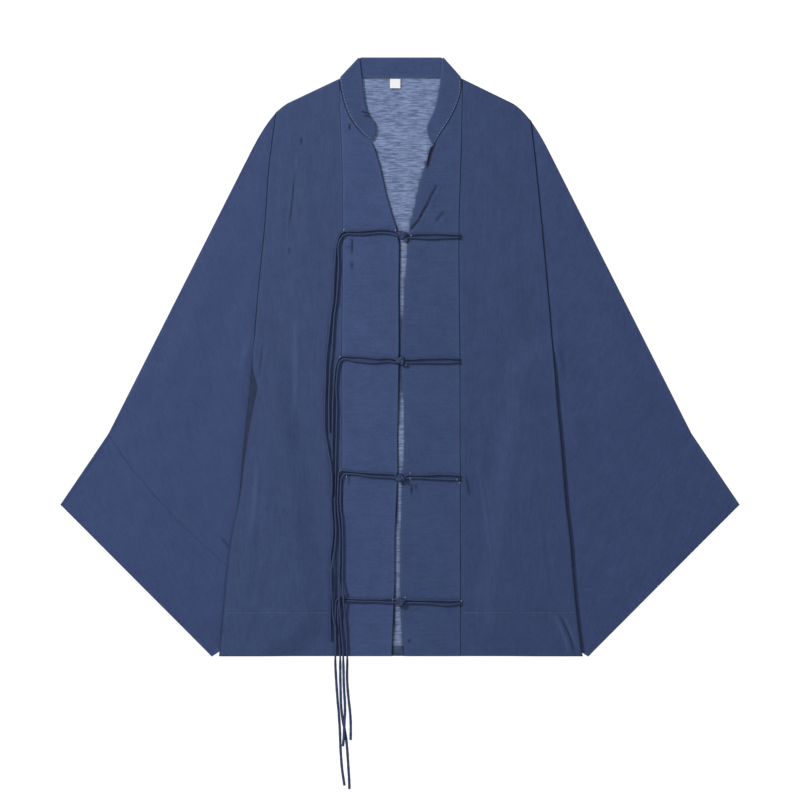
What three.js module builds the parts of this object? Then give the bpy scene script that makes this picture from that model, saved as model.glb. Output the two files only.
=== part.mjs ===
// A kimono jacket laid flat on a surface, front side up, its sleeves spread and its four ties knotted.
//
// Millimetres. +X points to the wearer's left, +Y from the hem towards the collar and +Z up, out of the
// surface. The origin is on the surface, under the middle of the garment's box.
// "right" and "left" are the wearer's. Most tables give "out", the distance from the centre line, so one
// table serves both sides: X is SIDE * out, with SIDE -1 on the right and +1 on the left.
import * as THREE from 'three';

// ---------------------------------------------------------------- driving sizes
const CLOTH = 1.0;          // wall of a single layer
const DOUBLED = 1.6;        // wall of the doubled bands and the collar
const CUFF_WALL = 1.2;      // wall of the faced cuffs
const LAYER_GAP = 0.4;      // air between two layers that lie on each other
const SEAM_GAP = 0.3;       // air between two pieces where they are sewn

const COLLAR_TOP_Y = 389.35;    // free edge of the back collar
const NECK_Y = 362.0;           // back neck seam
const HEM_Y = -388.7;
const NECK_POINT = [80.0, 361.2];       // where neck and shoulder meet: out, y
const SLOPE_END = [143.7, 331.0];       // the straight shoulder ends here
const SHOULDER_CORNER = [167.1, 319.8]; // control point of the rounded shoulder
const SLEEVE_TOP = [193.0, 268.5];      // the rounded shoulder ends here
const CUFF_KINK = [378.9, -99.5];       // upper end of the cuff seam
const CUFF_OUTER = [441.4, -191.8];     // upper corner of the cuff opening
const CUFF_INNER = [244.4, -389.35];    // lower corner of the cuff opening
const UNDERARM_END = [154.0, -329.5];   // lower end of the cuff seam, tucked under the body
const CUFF_SEAM_SAG = [322.0, -197.8];  // control point of the slightly bowed cuff seam

const ARMPIT = 0.506;           // share of the side line's height at which the sleeve tucks under the body
const BODY_ROWS_BELOW = 12;     // rows of a body panel below the armpit
const BODY_ROWS_ABOVE = [0.54, 0.575, 0.61, 0.68, 0.76, 0.84, 0.92, 1];

const BODY_LIFT = 3.2;          // how far the body rises to lie over the tucked sleeve
const LIFT_MARGIN = 30;         // it is up this far before the tucked part begins
const LIFT_RAMP = 32;           // and comes down to the surface over this distance

const CORD_RADIUS = 1.3;
const CORD_SIDES = 8;
const CORD_STEP = 7.5;              // length of one step along a cord
const KNOT_HALF = [7.5, 5.8, 3.1];  // half the knot's length, width and height
const KNOT_FACETS = [12, 7];        // facets round it and from top to bottom

const RIGHT = { name: 'right', sign: -1 };
const LEFT = { name: 'left', sign: 1 };

// Armhole and side line, from the shoulder down to the hem.
const SIDE_LINE = {
  //        y      out
  right: [[317.7, 160.9], [246.4, 170.0], [177.5, 174.9], [86.5, 184.0], [0.6, 191.4], [-67, 198.8],
    [-142.4, 206.3], [-174.9, 208.8], [-250.3, 221.7], [-340, 230.6], [HEM_Y, 235.0]],
  left: [[306.5, 170.3], [250, 176.7], [205, 181.3], [150, 186.6], [73.5, 193.6], [-26, 201.9],
    [-125.5, 211.0], [-186.6, 215.9], [-237, 221.7], [-298, 226.9], [-341, 231.3], [HEM_Y, 237.3]],
};
const ARMHOLE_ON_BEND = { right: 0.36, left: 0.55 };  // where the armhole leaves the rounded shoulder
const BEND_STEPS = 4;                                 // steps of the rounded shoulder on each side of it

// Seam between front panel and band, from the neck point to the hem.
const BAND_SEAM = {
  //        y      out
  right: [[361.2, 79.6], [349, 78.4], [314, 77.6], [280, 76.0], [0, 75.4], [HEM_Y, 74.8]],
  left: [[361.2, 81.4], [345, 81.2], [285, 80.0], [179, 76.9], [0, 77.9], [HEM_Y, 78.6]],
};

// Inner edge of a band: along the collar, down the V of the neck, then beside the centre gap.
// Here x is signed.
const BAND_EDGE = {
  //        y      x
  right: [[347.5, -77.2], [345.2, -76.4], [334, -73.6], [323.4, -70.6], [308.5, -64.0], [295, -54.0],
    [286.6, -45.7], [279.9, -36.9], [268.4, -32.1], [245.6, -25.4], [209.2, -17.2], [185.9, -10.5],
    [167.7, -4.6], [145, -0.8], [86.5, -1.7], [21.5, -1.2], [-80, -2.5], [-104.7, -3.4], [-146, -2.7],
    [-180, -4.2], [-229.5, -6.6], [-290.6, -6.6], [-336, -8.6], [HEM_Y, -10.7]],
  left: [[349, 80.2], [345.2, 79.4], [334, 76.2], [323.3, 72.8], [305, 62.9], [290.2, 52.9],
    [275.0, 43.9], [273.0, 39.6], [252.9, 34.5], [237.3, 29.3], [220.4, 24.1], [195.7, 19.4],
    [176.2, 14.4], [163.2, 11.8], [148.9, 10.8], [93, 6.6], [56.6, 4.2], [28, 0.9], [-4.6, 1.0],
    [-63, 5.2], [-104.7, 5.9], [-146, 4.2], [-180, 2.5], [-229.5, 0.7], [-290.6, 0.7], [-336, 1.0],
    [-374.4, 4.3], [HEM_Y, 5.9]],
};

// Sections of the collar's front parts, from the rounded end up to the fold at the side of the neck.
const COLLAR_FRONT = {
  //       seam out, y     free out, y
  right: [[37.3, 281.4, 35.5, 281.7], [41.0, 284.0, 32.3, 288.5], [47.0, 288.9, 31.2, 296.0],
    [53.6, 295.7, 32.4, 302.0], [60.0, 303.9, 36.6, 309.4], [65.5, 312.8, 41.5, 317.5],
    [70.2, 323.8, 44.6, 325.5], [73.6, 335.0, 46.6, 335.0], [76.0, 345.4, 47.8, 345.5],
    [77.2, 353.0, 49.0, 359.0], [77.2, 358.6, 50.9, 374.0]],
  left: [[42.9, 276.0, 41.2, 277.6], [46.6, 280.2, 37.6, 285.4], [50.2, 286.6, 35.2, 292.5],
    [54.5, 293.3, 35.1, 298.6], [60.4, 301.9, 37.6, 305.4], [66.3, 312.0, 41.6, 314.0],
    [72.1, 323.8, 45.5, 323.5], [76.2, 335.0, 48.0, 335.0], [78.8, 345.4, 50.0, 345.5],
    [79.2, 353.0, 52.4, 359.0], [79.0, 358.6, 54.0, 374.0]],
};
const COLLAR_FOLD = {   // outermost line of the fold: seam end, free end
  right: [[78.2, 363.4], [53.9, COLLAR_TOP_Y]],
  left: [[79.8, 363.4], [56.6, COLLAR_TOP_Y]],
};
const COLLAR_BACK_OUT = [66, 50, 25];   // sections of the back part between fold and middle
const FOLD_STEPS = 6;

const LABEL = { x: -6.2, y: 355.2, width: 13.6, height: 12.2, thick: 1.0 };

// Ties, from the neck down. Columns: x, y, z along each cord's middle.
const KNOT_PLACES = [[3.2, 158.2], [0.7, -5.1], [0.7, -157.2], [1.0, -317.9]];
const STRANDS = [
  { name: '1a', path: [[11.6, 158.2, 4.6], [21.4, 159.8, 4.6], [33.1, 159.9, 4.6], [46.1, 160, 4.6],
    [60.5, 159.5, 4.6], [76, 158.5, 4.6]] },
  { name: '1b', path: [[11.6, 154.8, 4.6], [21.4, 154.7, 4.6], [34.5, 153.7, 4.6], [44.9, 153.8, 4.6],
    [57.9, 154.6, 4.6], [76, 155.1, 4.6]] },
  { name: '2a', path: [[8.7, -3.1, 4.6], [17.6, -3, 4.6], [29.2, -2, 4.6], [46.1, -1.7, 4.6],
    [61.8, -1.4, 4.6], [75.4, -2.5, 4.6]] },
  { name: '2b', path: [[8.7, -7.2, 4.6], [17.6, -7.4, 4.6], [29.2, -7.4, 4.6], [46.1, -7.5, 4.6],
    [61.8, -7.4, 4.6], [75.4, -6.6, 4.6]] },
  { name: '3a', path: [[8.7, -153.8, 4.6], [21.4, -153.5, 4.6], [37.1, -153.1, 4.6], [52.6, -152.4, 4.6],
    [65.7, -152.8, 4.6], [76, -154.1, 4.6]] },
  { name: '3b', path: [[8.7, -157.4, 4.6], [21.4, -157, 4.6], [37.1, -157.8, 4.6], [52.6, -158.5, 4.6],
    [65.7, -159, 4.6], [76, -158.5, 4.6]] },
  { name: '4a', path: [[9.1, -315.2, 4.6], [21.4, -315.8, 4.6], [37.1, -315.6, 4.6], [52.6, -316, 4.6],
    [65.7, -316.3, 4.6], [76.8, -316.3, 4.6]] },
  { name: '4b', path: [[9.1, -319.2, 4.6], [21.4, -319.2, 4.6], [37.1, -319.7, 4.6], [47.5, -320.8, 4.6],
    [57.9, -322.1, 4.6], [67, -321.4, 4.6], [76.8, -319.7, 4.6]] },
];
const TAILS = [
  { name: '1a', path: [[-5.1, 162.4, 4.6], [-15, 165, 4.6], [-25.4, 165.5, 4.6], [-35.8, 164.6, 4.6],
    [-51.4, 163.5, 4.6], [-64.4, 163.2, 4.6], [-72.4, 162.6, 4.6], [-76.6, 160.3, 4.4], [-79.7, 155.3, 4],
    [-81.8, 148.8, 4], [-83.3, 139.8, 4], [-84, 130.7, 4], [-84.5, 121.5, 4], [-85.3, 112.5, 4],
    [-85.8, 102, 4], [-86.1, 89, 4], [-86.5, 77.4, 4], [-87.5, 68.2, 4], [-88.8, 60.5, 4], [-90, 51.4, 4],
    [-91.1, 41, 4], [-92.4, 27.9, 4], [-93.9, 15, 4], [-95, 4.5, 4], [-95.9, -7.2, 4], [-96.3, -24.1, 4],
    [-97, -43.6, 4], [-97.6, -59.1, 4], [-97.6, -74.8, 4], [-97.4, -94.2, 4], [-95.8, -106, 4],
    [-94, -116.4, 4], [-92.3, -126.8, 5], [-90.5, -135.8, 6.2], [-89, -146.2, 6.9], [-88.4, -158, 6.9],
    [-88.3, -168.3, 6.9], [-88.4, -178.8, 6.9]] },
  { name: '1b', path: [[-5.1, 158.2, 4.6], [-15, 160.6, 4.6], [-25.4, 161.2, 4.6], [-35.8, 160.2, 4.6],
    [-51.4, 158.9, 4.6], [-61.8, 159.4, 4.6], [-68.9, 159.6, 4.6], [-73.5, 157.6, 4.6],
    [-76.2, 154.1, 4.5], [-78.7, 149.5, 4.1], [-80, 143, 4], [-80.2, 135.8, 4], [-79.7, 125.5, 4],
    [-79.7, 115, 4], [-80.1, 104.7, 4], [-81, 94.2, 4], [-81.8, 81.2, 4], [-82.7, 70.9, 4],
    [-83.9, 63.1, 4], [-85.2, 54, 4], [-85.9, 44.9, 4], [-86.6, 34.5, 4], [-87.1, 21.4, 4],
    [-87.8, 11.1, 4], [-88.5, 2, 4], [-89.8, -7.2, 4], [-91, -17.6, 4], [-91.5, -30.6, 4],
    [-91.9, -43.6, 4], [-92.4, -56.6, 4], [-92.3, -69.5, 4], [-92, -82.5, 4], [-91.9, -96.9, 4]] },
  { name: '2a', path: [[-7.4, -2.7, 4.6], [-18.9, -1.2, 4.6], [-27.9, -2, 4.6], [-38.4, -1.2, 4.6],
    [-51.4, 0.1, 4.6], [-63.1, 0.7, 4.6], [-70.9, 1, 4.6], [-75.4, 0.7, 4.6], [-78.4, -1.3, 4.1],
    [-81.2, -5.9, 4], [-83.3, -11.7, 4], [-84.4, -17.6, 4], [-85.2, -25.4, 4], [-85.9, -35.8, 4],
    [-86.5, -47.5, 4], [-87, -56.6, 4], [-87.4, -69.5, 4], [-87.5, -87.8, 4], [-88, -108.5, 4],
    [-88.1, -119, 4], [-87.9, -129.3, 4], [-88, -139.8, 4], [-88.4, -150.2, 4], [-88.9, -165.8, 4],
    [-89.2, -186.6, 4], [-88.8, -199.6, 4], [-87.6, -212.6, 4], [-87.2, -225.6, 4], [-87.9, -238.6, 4],
    [-89.6, -251.6, 4], [-90.4, -261.9, 4], [-90.1, -273.7, 4], [-89.8, -286.7, 4], [-90, -299.7, 4],
    [-90.5, -312.7, 4], [-90.6, -329.6, 4], [-90.5, -342.6, 4], [-90.2, -355.6, 4], [-90, -367.9, 4]] },
  { name: '2b', path: [[-7.4, -6.9, 4.6], [-15, -5.7, 4.6], [-25.4, -6.6, 4.6], [-35.8, -7.4, 4.6],
    [-44.9, -6.6, 4.6], [-61.8, -4.9, 4.6], [-65.9, -3.5, 4.6], [-70.2, -2.5, 4.6], [-74, -2.9, 4.6],
    [-76.8, -4.9, 4.5], [-78.9, -8.5, 4], [-80.3, -13.7, 4], [-81.2, -20.2, 4], [-82, -27.9, 4],
    [-82.7, -37.1, 4], [-82.7, -47.5, 4], [-81.9, -59.1, 4], [-81.8, -69.5, 4], [-82.4, -87.8, 4],
    [-82.7, -108.5, 4], [-83.3, -129.3, 4], [-83.7, -147.6, 4], [-84, -168.3, 4], [-84.8, -186.6, 4],
    [-83.7, -212.6, 4], [-83.1, -225.6, 4], [-83.7, -238.6, 4], [-85, -251.6, 4], [-87, -263.2, 5.2],
    [-88.7, -273.7, 6.9], [-89.3, -285.4, 6.9], [-89.2, -297.1, 6.9], [-88.4, -307.4, 6.3],
    [-87.5, -316.6, 4.6], [-87.4, -326.9, 4.1], [-86.6, -337.4, 5.3], [-85.2, -345.2, 6.9],
    [-83.7, -351, 6.9], [-83.3, -355.6, 6.9]] },
  { name: '3a', path: [[-7.4, -152.5, 4.6], [-18.9, -151.3, 4.6], [-35.8, -150.7, 4.6],
    [-48.8, -150, 4.6], [-61.8, -148.8, 4.6], [-70.9, -147.6, 4.6], [-75.8, -147.4, 4.6],
    [-78.4, -149.2, 4.1], [-79.7, -153.4, 4], [-80.2, -160.6, 4], [-80.7, -173.6, 4], [-81, -186.6, 4],
    [-80.7, -197, 4], [-79.7, -207.3, 4], [-78.7, -217.8, 4], [-77.9, -228.2, 4], [-78, -245.1, 4],
    [-78.1, -264.6, 4], [-78.7, -280.2, 4.2], [-78.9, -293.2, 5.4], [-78.9, -304.9, 7.3],
    [-78.7, -319.2, 7.3], [-78.1, -326.9, 6.4], [-77.5, -336.1, 4.8], [-76.8, -346.4, 4.3],
    [-76, -356.9, 4.4], [-74.9, -368.6, 4.6], [-74.1, -378.9, 4.6], [-73.7, -388.1, 4.7],
    [-73.5, -400.4, 3.1], [-73.3, -410.2, 1.8], [-73.1, -423.2, 1.5], [-72.4, -436.2, 1.5],
    [-71.6, -450.4, 1.5], [-71.5, -460.9, 2.2], [-71.9, -471.2, 3.6], [-72.3, -479.1, 4.4],
    [-72.7, -488.2, 4.4], [-73.2, -496.6, 3.6], [-74.1, -505.1, 2]] },
  { name: '3b', path: [[-7.4, -157.2, 4.6], [-17.6, -156.3, 4.6], [-30.6, -155.6, 4.6],
    [-41, -154.6, 4.6], [-51.4, -153, 4.6], [-59.1, -152.2, 4.6], [-65.7, -151.8, 4.6],
    [-70.9, -152.1, 4.6], [-74.4, -154.4, 4.6], [-76.2, -158.6, 4.6], [-76.8, -165.8, 4.3],
    [-77.2, -176.2, 4.3], [-77.5, -186.6, 4.3], [-77, -197, 4.4], [-75.7, -207.3, 4.6],
    [-74.8, -217.8, 4.6], [-74.4, -230.8, 4.6], [-74.2, -245.1, 4.6], [-74.2, -264.6, 4.6],
    [-74.6, -280.2, 4.7], [-74.4, -294.4, 5.6], [-73.7, -306.2, 7.6], [-73.2, -317.9, 7.6],
    [-72.5, -326.9, 6.3], [-71.4, -336.1, 4.8], [-70.3, -345.2, 4.6], [-69.7, -355.6, 4.6],
    [-69.3, -368.6, 4.6], [-68.9, -378.9, 4.6], [-68.5, -388.1, 4.7], [-68.5, -400.4, 3.1],
    [-68.8, -410.2, 1.8], [-68.6, -421.9, 1.5], [-67.7, -434.9, 1.5], [-66.4, -447.9, 1.5],
    [-64.9, -460.9, 1.5], [-64.1, -473.9, 1.5], [-64, -485.6, 1.5], [-64.1, -497.2, 1.5]] },
  { name: '4a', path: [[-7, -314.5, 4.6], [-16.2, -313.9, 4.6], [-25.4, -314.5, 4.6],
    [-38.4, -314.2, 4.6], [-51.4, -314.2, 4.6], [-64.4, -313.7, 4.6], [-72.2, -313, 4.6],
    [-78, -312.7, 4.3], [-81.4, -314.6, 4], [-83.1, -319.2, 4], [-83.6, -326.9, 4], [-83.9, -337.4, 4],
    [-83.9, -347.8, 4], [-83.6, -360.8, 4], [-83.5, -375.1, 4], [-83.9, -388.1, 4.1],
    [-83.9, -400.4, 2.6], [-83.5, -410.2, 1.6], [-82.8, -421.9, 1.5], [-81.9, -434.9, 1.5],
    [-80.9, -447.9, 1.5], [-79.7, -460.9, 1.5], [-78.8, -473.9, 1.5], [-78, -488.2, 1.5],
    [-77.5, -503.8, 1.5], [-76.6, -519.4, 1.5], [-75.3, -535, 1.5], [-73.5, -548, 1.5],
    [-72.2, -556.4, 1.5]] },
  { name: '4b', path: [[-7, -318.6, 4.6], [-16.2, -318.9, 4.6], [-25.4, -317.9, 4.6],
    [-38.4, -317.5, 4.6], [-51.4, -317.5, 4.6], [-64.4, -316.9, 4.6], [-72.2, -316.4, 4.6],
    [-76.6, -316.6, 4.4], [-79, -319.2, 4], [-80.1, -324.4, 4], [-80.5, -332.2, 4], [-80.2, -342.6, 4],
    [-79.6, -355.6, 4], [-78.8, -368.6, 4], [-78.1, -378.9, 4], [-77.6, -388.1, 4.1],
    [-77.6, -400.4, 2.6], [-77.6, -410.2, 1.6], [-77.5, -421.9, 1.5], [-77.1, -434.9, 1.5],
    [-76.8, -447.9, 1.5], [-75.9, -460.9, 1.5], [-74.2, -472.6, 1.5], [-71.9, -484.2, 1.5],
    [-69.8, -497.2, 1.5], [-68.5, -511.6, 1.5], [-67.5, -525.9, 1.5], [-66.7, -538.9, 1.5],
    [-66, -550.6, 1.5], [-65.7, -561, 1.5]] },
];

// ---------------------------------------------------------------- materials
const navy = (colour) => new THREE.MeshStandardMaterial({ color: colour, roughness: 0.72, metalness: 0 });
const NAVY_BODY = navy(0x3d4b6d);
const NAVY_BAND = navy(0x42507a);
const NAVY_SLEEVE = navy(0x3a4a70);
const NAVY_BACK = navy(0x6f7fa8);
const NAVY_CORD = navy(0x3c4a6b);
const WHITE_LABEL = new THREE.MeshStandardMaterial({ color: 0xeeeff2, roughness: 0.6, metalness: 0 });

// ---------------------------------------------------------------- small helpers
const lerp = (a, b, t) => a + (b - a) * t;
const lerp2 = (p, q, t) => [lerp(p[0], q[0], t), lerp(p[1], q[1], t)];
const distance = (p, q) => Math.hypot(q[0] - p[0], q[1] - p[1]);

// Second column of a table whose first column falls from row to row, read at a value of the first.
function readTable(rows, first) {
  for (let i = 1; i < rows.length; i += 1) {
    const [high, low] = [rows[i - 1], rows[i]];
    if (first >= low[0]) {
      return lerp(low[1], high[1], Math.min(1, (first - low[0]) / (high[0] - low[0])));
    }
  }
  return rows[rows.length - 1][1];
}

// A chain of points as a function of the share of its length.
function chain(points) {
  const lengths = [0];
  for (let i = 1; i < points.length; i += 1) {
    lengths.push(lengths[i - 1] + distance(points[i - 1], points[i]));
  }
  const total = lengths[lengths.length - 1];
  return (share) => {
    const along = share * total;
    let i = 1;
    while (i < points.length - 1 && lengths[i] < along) i += 1;
    return lerp2(points[i - 1], points[i], (along - lengths[i - 1]) / (lengths[i] - lengths[i - 1]));
  };
}

// Points of a quadratic curve between two shares of it.
function bend(start, control, end, from, to, steps) {
  const points = [];
  for (let i = 0; i <= steps; i += 1) {
    const t = lerp(from, to, i / steps);
    points.push(lerp2(lerp2(start, control, t), lerp2(control, end, t), t));
  }
  return points;
}

// Grid of points between four edges: the blend of both pairs of edges less the blend of the corners.
function patch(left, right, bottom, top, columns, rows) {
  const corners = [bottom(0), bottom(1), top(0), top(1)];
  return rows.map((v) => columns.map((u) => [0, 1].map((k) => (
    lerp(left(v)[k], right(v)[k], u) + lerp(bottom(u)[k], top(u)[k], v)
    - lerp(lerp(corners[0][k], corners[1][k], u), lerp(corners[2][k], corners[3][k], u), v)
  ))));
}

const shares = (count) => Array.from({ length: count + 1 }, (_, i) => i / count);

// Mesh of a closed body, turned so that its faces point out.
function closedBody(name, points, faces, material) {
  let volume = 0;
  for (const [a, b, c] of faces) {
    const [p, q, r] = [points[a], points[b], points[c]];
    volume += p[0] * (q[1] * r[2] - q[2] * r[1]) + p[1] * (q[2] * r[0] - q[0] * r[2])
      + p[2] * (q[0] * r[1] - q[1] * r[0]);
  }
  const turned = volume < 0 ? faces.map(([a, b, c]) => [a, c, b]) : faces;
  const geometry = new THREE.BufferGeometry();
  geometry.setAttribute('position', new THREE.Float32BufferAttribute(points.flat(), 3));
  geometry.setIndex(turned.flat());
  geometry.computeVertexNormals();
  const mesh = new THREE.Mesh(geometry, material);
  mesh.name = name;
  return mesh;
}

const quad = (a, b, c, d) => [[a, b, c], [a, c, d]];

// A wall of cloth over a grid of plan points: its underside at heightAt(x, y), its top one thickness above.
function panel(name, plan, heightAt, thickness, material) {
  const [rows, columns] = [plan.length, plan[0].length];
  const points = [];
  for (const lift of [0, thickness]) {
    for (const row of plan) {
      for (const [x, y] of row) points.push([x, y, heightAt(x, y) + lift]);
    }
  }
  const under = (i, j) => i * columns + j;
  const over = (i, j) => (rows + i) * columns + j;
  const faces = [];
  for (let i = 0; i < rows - 1; i += 1) {
    for (let j = 0; j < columns - 1; j += 1) {
      faces.push(...quad(under(i, j), under(i + 1, j), under(i + 1, j + 1), under(i, j + 1)));
      faces.push(...quad(over(i, j), over(i, j + 1), over(i + 1, j + 1), over(i + 1, j)));
    }
    const last = columns - 1;
    faces.push(...quad(under(i, 0), over(i, 0), over(i + 1, 0), under(i + 1, 0)));
    faces.push(...quad(under(i, last), under(i + 1, last), over(i + 1, last), over(i, last)));
  }
  for (let j = 0; j < columns - 1; j += 1) {
    const last = rows - 1;
    faces.push(...quad(under(0, j), under(0, j + 1), over(0, j + 1), over(0, j)));
    faces.push(...quad(under(last, j), over(last, j), over(last, j + 1), under(last, j + 1)));
  }
  return closedBody(name, points, faces, material);
}

// Faces of a skin through rings of points, each ring a closed loop of the same size.
function loft(rings, size, first) {
  const at = (i, j) => first + i * size + (j % size);
  const faces = [];
  for (let i = 0; i < rings - 1; i += 1) {
    for (let j = 0; j < size; j += 1) {
      faces.push(...quad(at(i, j), at(i, j + 1), at(i + 1, j + 1), at(i + 1, j)));
    }
  }
  return faces;
}

// ---------------------------------------------------------------- the garment's lines
const place = (side, [out, y]) => [side.sign * out, y];

// Side line from the hem (0) to the shoulder (1).
function sidePoint(side, share) {
  const line = SIDE_LINE[side.name];
  const y = lerp(HEM_Y, line[0][0], share);
  return [readTable(line, y), y];
}

const bodyRows = [...shares(BODY_ROWS_BELOW).map((t) => t * ARMPIT), ...BODY_ROWS_ABOVE];

// Shoulder from the armhole (0) to the neck point (1).
function shoulderLine(side) {
  const start = 1 - ARMHOLE_ON_BEND[side.name];
  const rounded = bend(SLEEVE_TOP, SHOULDER_CORNER, SLOPE_END, start, 1, BEND_STEPS);
  return chain([...rounded, NECK_POINT]);
}

// The part of the sleeve and cuff that lies under the body.
const TUCKED = [[195.0, -31.0], [236.0, HEM_Y], CUFF_INNER, UNDERARM_END];  // clockwise

function distanceToTucked(x, y) {
  const point = [Math.abs(x), y];
  let inside = true;
  let nearest = Infinity;
  TUCKED.forEach((start, i) => {
    const end = TUCKED[(i + 1) % TUCKED.length];
    const along = [end[0] - start[0], end[1] - start[1]];
    const away = [point[0] - start[0], point[1] - start[1]];
    if (along[0] * away[1] - along[1] * away[0] > 0) inside = false;
    const share = (along[0] * away[0] + along[1] * away[1]) / (along[0] ** 2 + along[1] ** 2);
    nearest = Math.min(nearest, distance(point, lerp2(start, end, THREE.MathUtils.clamp(share, 0, 1))));
  });
  return inside ? 0 : nearest;
}

// Height of the body's underside: on the surface, but raised over the tucked sleeves.
function bodyHeight(x, y) {
  const away = distanceToTucked(x, y);
  return BODY_LIFT * (1 - THREE.MathUtils.smoothstep(away, LIFT_MARGIN, LIFT_MARGIN + LIFT_RAMP));
}

// ---------------------------------------------------------------- body panels
const FRONT_COLUMNS = 8;
const BACK_MIDDLE_COLUMNS = 4;  // columns of the back between the two band seams
const FRONT_HEIGHT = CLOTH + LAYER_GAP;

// Grid of a front: rows from the hem upwards, each row towards +X.
function frontPlan(side) {
  const outer = (v) => sidePoint(side, v);
  const seamTop = BAND_SEAM[side.name][0][0];
  const inner = (v) => {
    const y = lerp(HEM_Y, seamTop, v);
    return [readTable(BAND_SEAM[side.name], y) + SEAM_GAP / 2, y];
  };
  const shoulder = shoulderLine(side);
  const top = (u) => (u === 1 ? inner(1) : shoulder(u));
  const bottom = (u) => lerp2(outer(0), inner(0), u);
  const inward = patch(outer, inner, bottom, top, shares(FRONT_COLUMNS), bodyRows)
    .map((row) => row.map((point) => place(side, point)));
  return side === RIGHT ? inward : inward.map((row) => row.reverse());
}

function front(side) {
  const height = (x, y) => FRONT_HEIGHT + bodyHeight(x, y);
  return panel(`${side.name}_front`, frontPlan(side), height, CLOTH, NAVY_BODY);
}

// The back has the grids of both fronts, so that the layers keep their distance, and a middle between them.
function back() {
  const rightRows = frontPlan(RIGHT);
  const leftRows = frontPlan(LEFT);
  const middle = shares(BACK_MIDDLE_COLUMNS).slice(1, -1);
  const plan = rightRows.map((row, i) => {
    const farRow = leftRows[i];
    return [...row, ...middle.map((t) => lerp2(row[row.length - 1], farRow[0], t)), ...farRow];
  });
  return panel('back', plan, bodyHeight, CLOTH, NAVY_BACK);
}

const BAND_COLUMNS = 3;

function band(side) {
  const plan = BAND_EDGE[side.name].map(([y, edge]) => {
    const seam = side.sign * (readTable(BAND_SEAM[side.name], y) - SEAM_GAP / 2);
    return shares(BAND_COLUMNS).map((t) => [lerp(seam, edge, t), y]);
  });
  return panel(`${side.name}_band`, plan, () => FRONT_HEIGHT, DOUBLED, NAVY_BAND);
}

function label() {
  const [halfWidth, halfHeight] = [LABEL.width / 2, LABEL.height / 2];
  const plan = [-halfHeight, halfHeight].map((dy) => (
    [-halfWidth, halfWidth].map((dx) => [LABEL.x + dx, LABEL.y + dy])
  ));
  return panel('label', plan, () => CLOTH + SEAM_GAP, LABEL.thick, WHITE_LABEL);
}

// ---------------------------------------------------------------- sleeves and cuffs
const NOSE = [[0.35, 0.85], [0, 0.5], [0.35, 0.15]];  // rounded fold: inset and height, as shares

// A flattened tube: plan[i][j] runs along the sleeve (i) and from its upper to its lower fold (j).
function flatTube(name, plan, wall, material) {
  const height = 2 * wall + LAYER_GAP;
  const round = height / 2;
  const size = 2 * plan[0].length + 2 * NOSE.length;
  const last = plan[0].length - 1;
  const loops = { outer: [], inner: [] };
  for (const row of plan) {
    const width = distance(row[0], row[last]);
    const across = [(row[last][0] - row[0][0]) / width, (row[last][1] - row[0][1]) / width];
    const inset = (j) => (j === 0 ? round : 0) - (j === last ? round : 0);
    const shifted = (point, by) => [point[0] + across[0] * by, point[1] + across[1] * by];
    const flat = (j, z) => [...shifted(row[j], inset(j)), z];
    const order = row.map((_, j) => j);
    const nose = (j, low, high, depth) => NOSE.map(([share, level]) => {
      const by = (j === 0 ? 1 : -1) * (depth + share * (round - depth));
      return [...shifted(row[j], by), lerp(low, high, level)];
    });
    loops.outer.push(...order.map((j) => flat(j, height)), ...nose(last, 0, height, 0),
      ...[...order].reverse().map((j) => flat(j, 0)), ...nose(0, 0, height, 0).reverse());
    loops.inner.push(...order.map((j) => flat(j, wall + LAYER_GAP)),
      ...nose(last, wall, wall + LAYER_GAP, wall),
      ...[...order].reverse().map((j) => flat(j, wall)),
      ...nose(0, wall, wall + LAYER_GAP, wall).reverse());
  }
  const points = [...loops.outer, ...loops.inner];
  const innerStart = loops.outer.length;
  const faces = [
    ...loft(plan.length, size, 0),
    ...loft(plan.length, size, innerStart).map(([a, b, c]) => [a, c, b]),
  ];
  for (const [ring, turn] of [[0, false], [plan.length - 1, true]]) {
    for (let j = 0; j < size; j += 1) {
      const next = (j + 1) % size;
      const base = ring * size;
      const rim = quad(base + j, innerStart + base + j, innerStart + base + next, base + next);
      faces.push(...(turn ? rim.map(([a, b, c]) => [a, c, b]) : rim));
    }
  }
  return closedBody(name, points, faces, material);
}

const CUFF_SEAM_STEPS = 8;
const cuffSeam = chain(bend(CUFF_KINK, CUFF_SEAM_SAG, UNDERARM_END, 0, 1, 2 * CUFF_SEAM_STEPS));
const SLEEVE_RINGS = [0, 0.04, 0.08, 0.12, 0.24, 0.4, 0.55, 0.7, 0.85, 1];
const CUFF_RINGS = [0, 0.33, 0.66, 1];

function sleeve(side) {
  const armholeRows = bodyRows.slice(BODY_ROWS_BELOW).reverse();
  const armhole = armholeRows.map((v) => {
    const [out, y] = sidePoint(side, v);
    return [out + SEAM_GAP, y];
  });
  const start = ARMHOLE_ON_BEND[side.name];
  const shoulderPart = bend(SLOPE_END, SHOULDER_CORNER, SLEEVE_TOP, start, 1, BEND_STEPS);
  shoulderPart[0] = armhole[0];
  const upper = chain([...shoulderPart, CUFF_KINK]);
  const lower = chain([armhole[armhole.length - 1], UNDERARM_END]);
  const steps = shares(armhole.length - 1);
  const acrossArmhole = (w) => armhole[Math.round(w * (armhole.length - 1))];
  const plan = patch(upper, lower, acrossArmhole, cuffSeam, steps, SLEEVE_RINGS);
  const seamRing = plan[plan.length - 1];
  seamRing.forEach((point) => {
    point[0] -= SEAM_GAP * Math.SQRT1_2;
    point[1] += SEAM_GAP * Math.SQRT1_2;
  });
  const placed = plan.map((row) => row.map((point) => place(side, point)));
  return flatTube(`${side.name}_sleeve`, placed, CLOTH, NAVY_SLEEVE);
}

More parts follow.
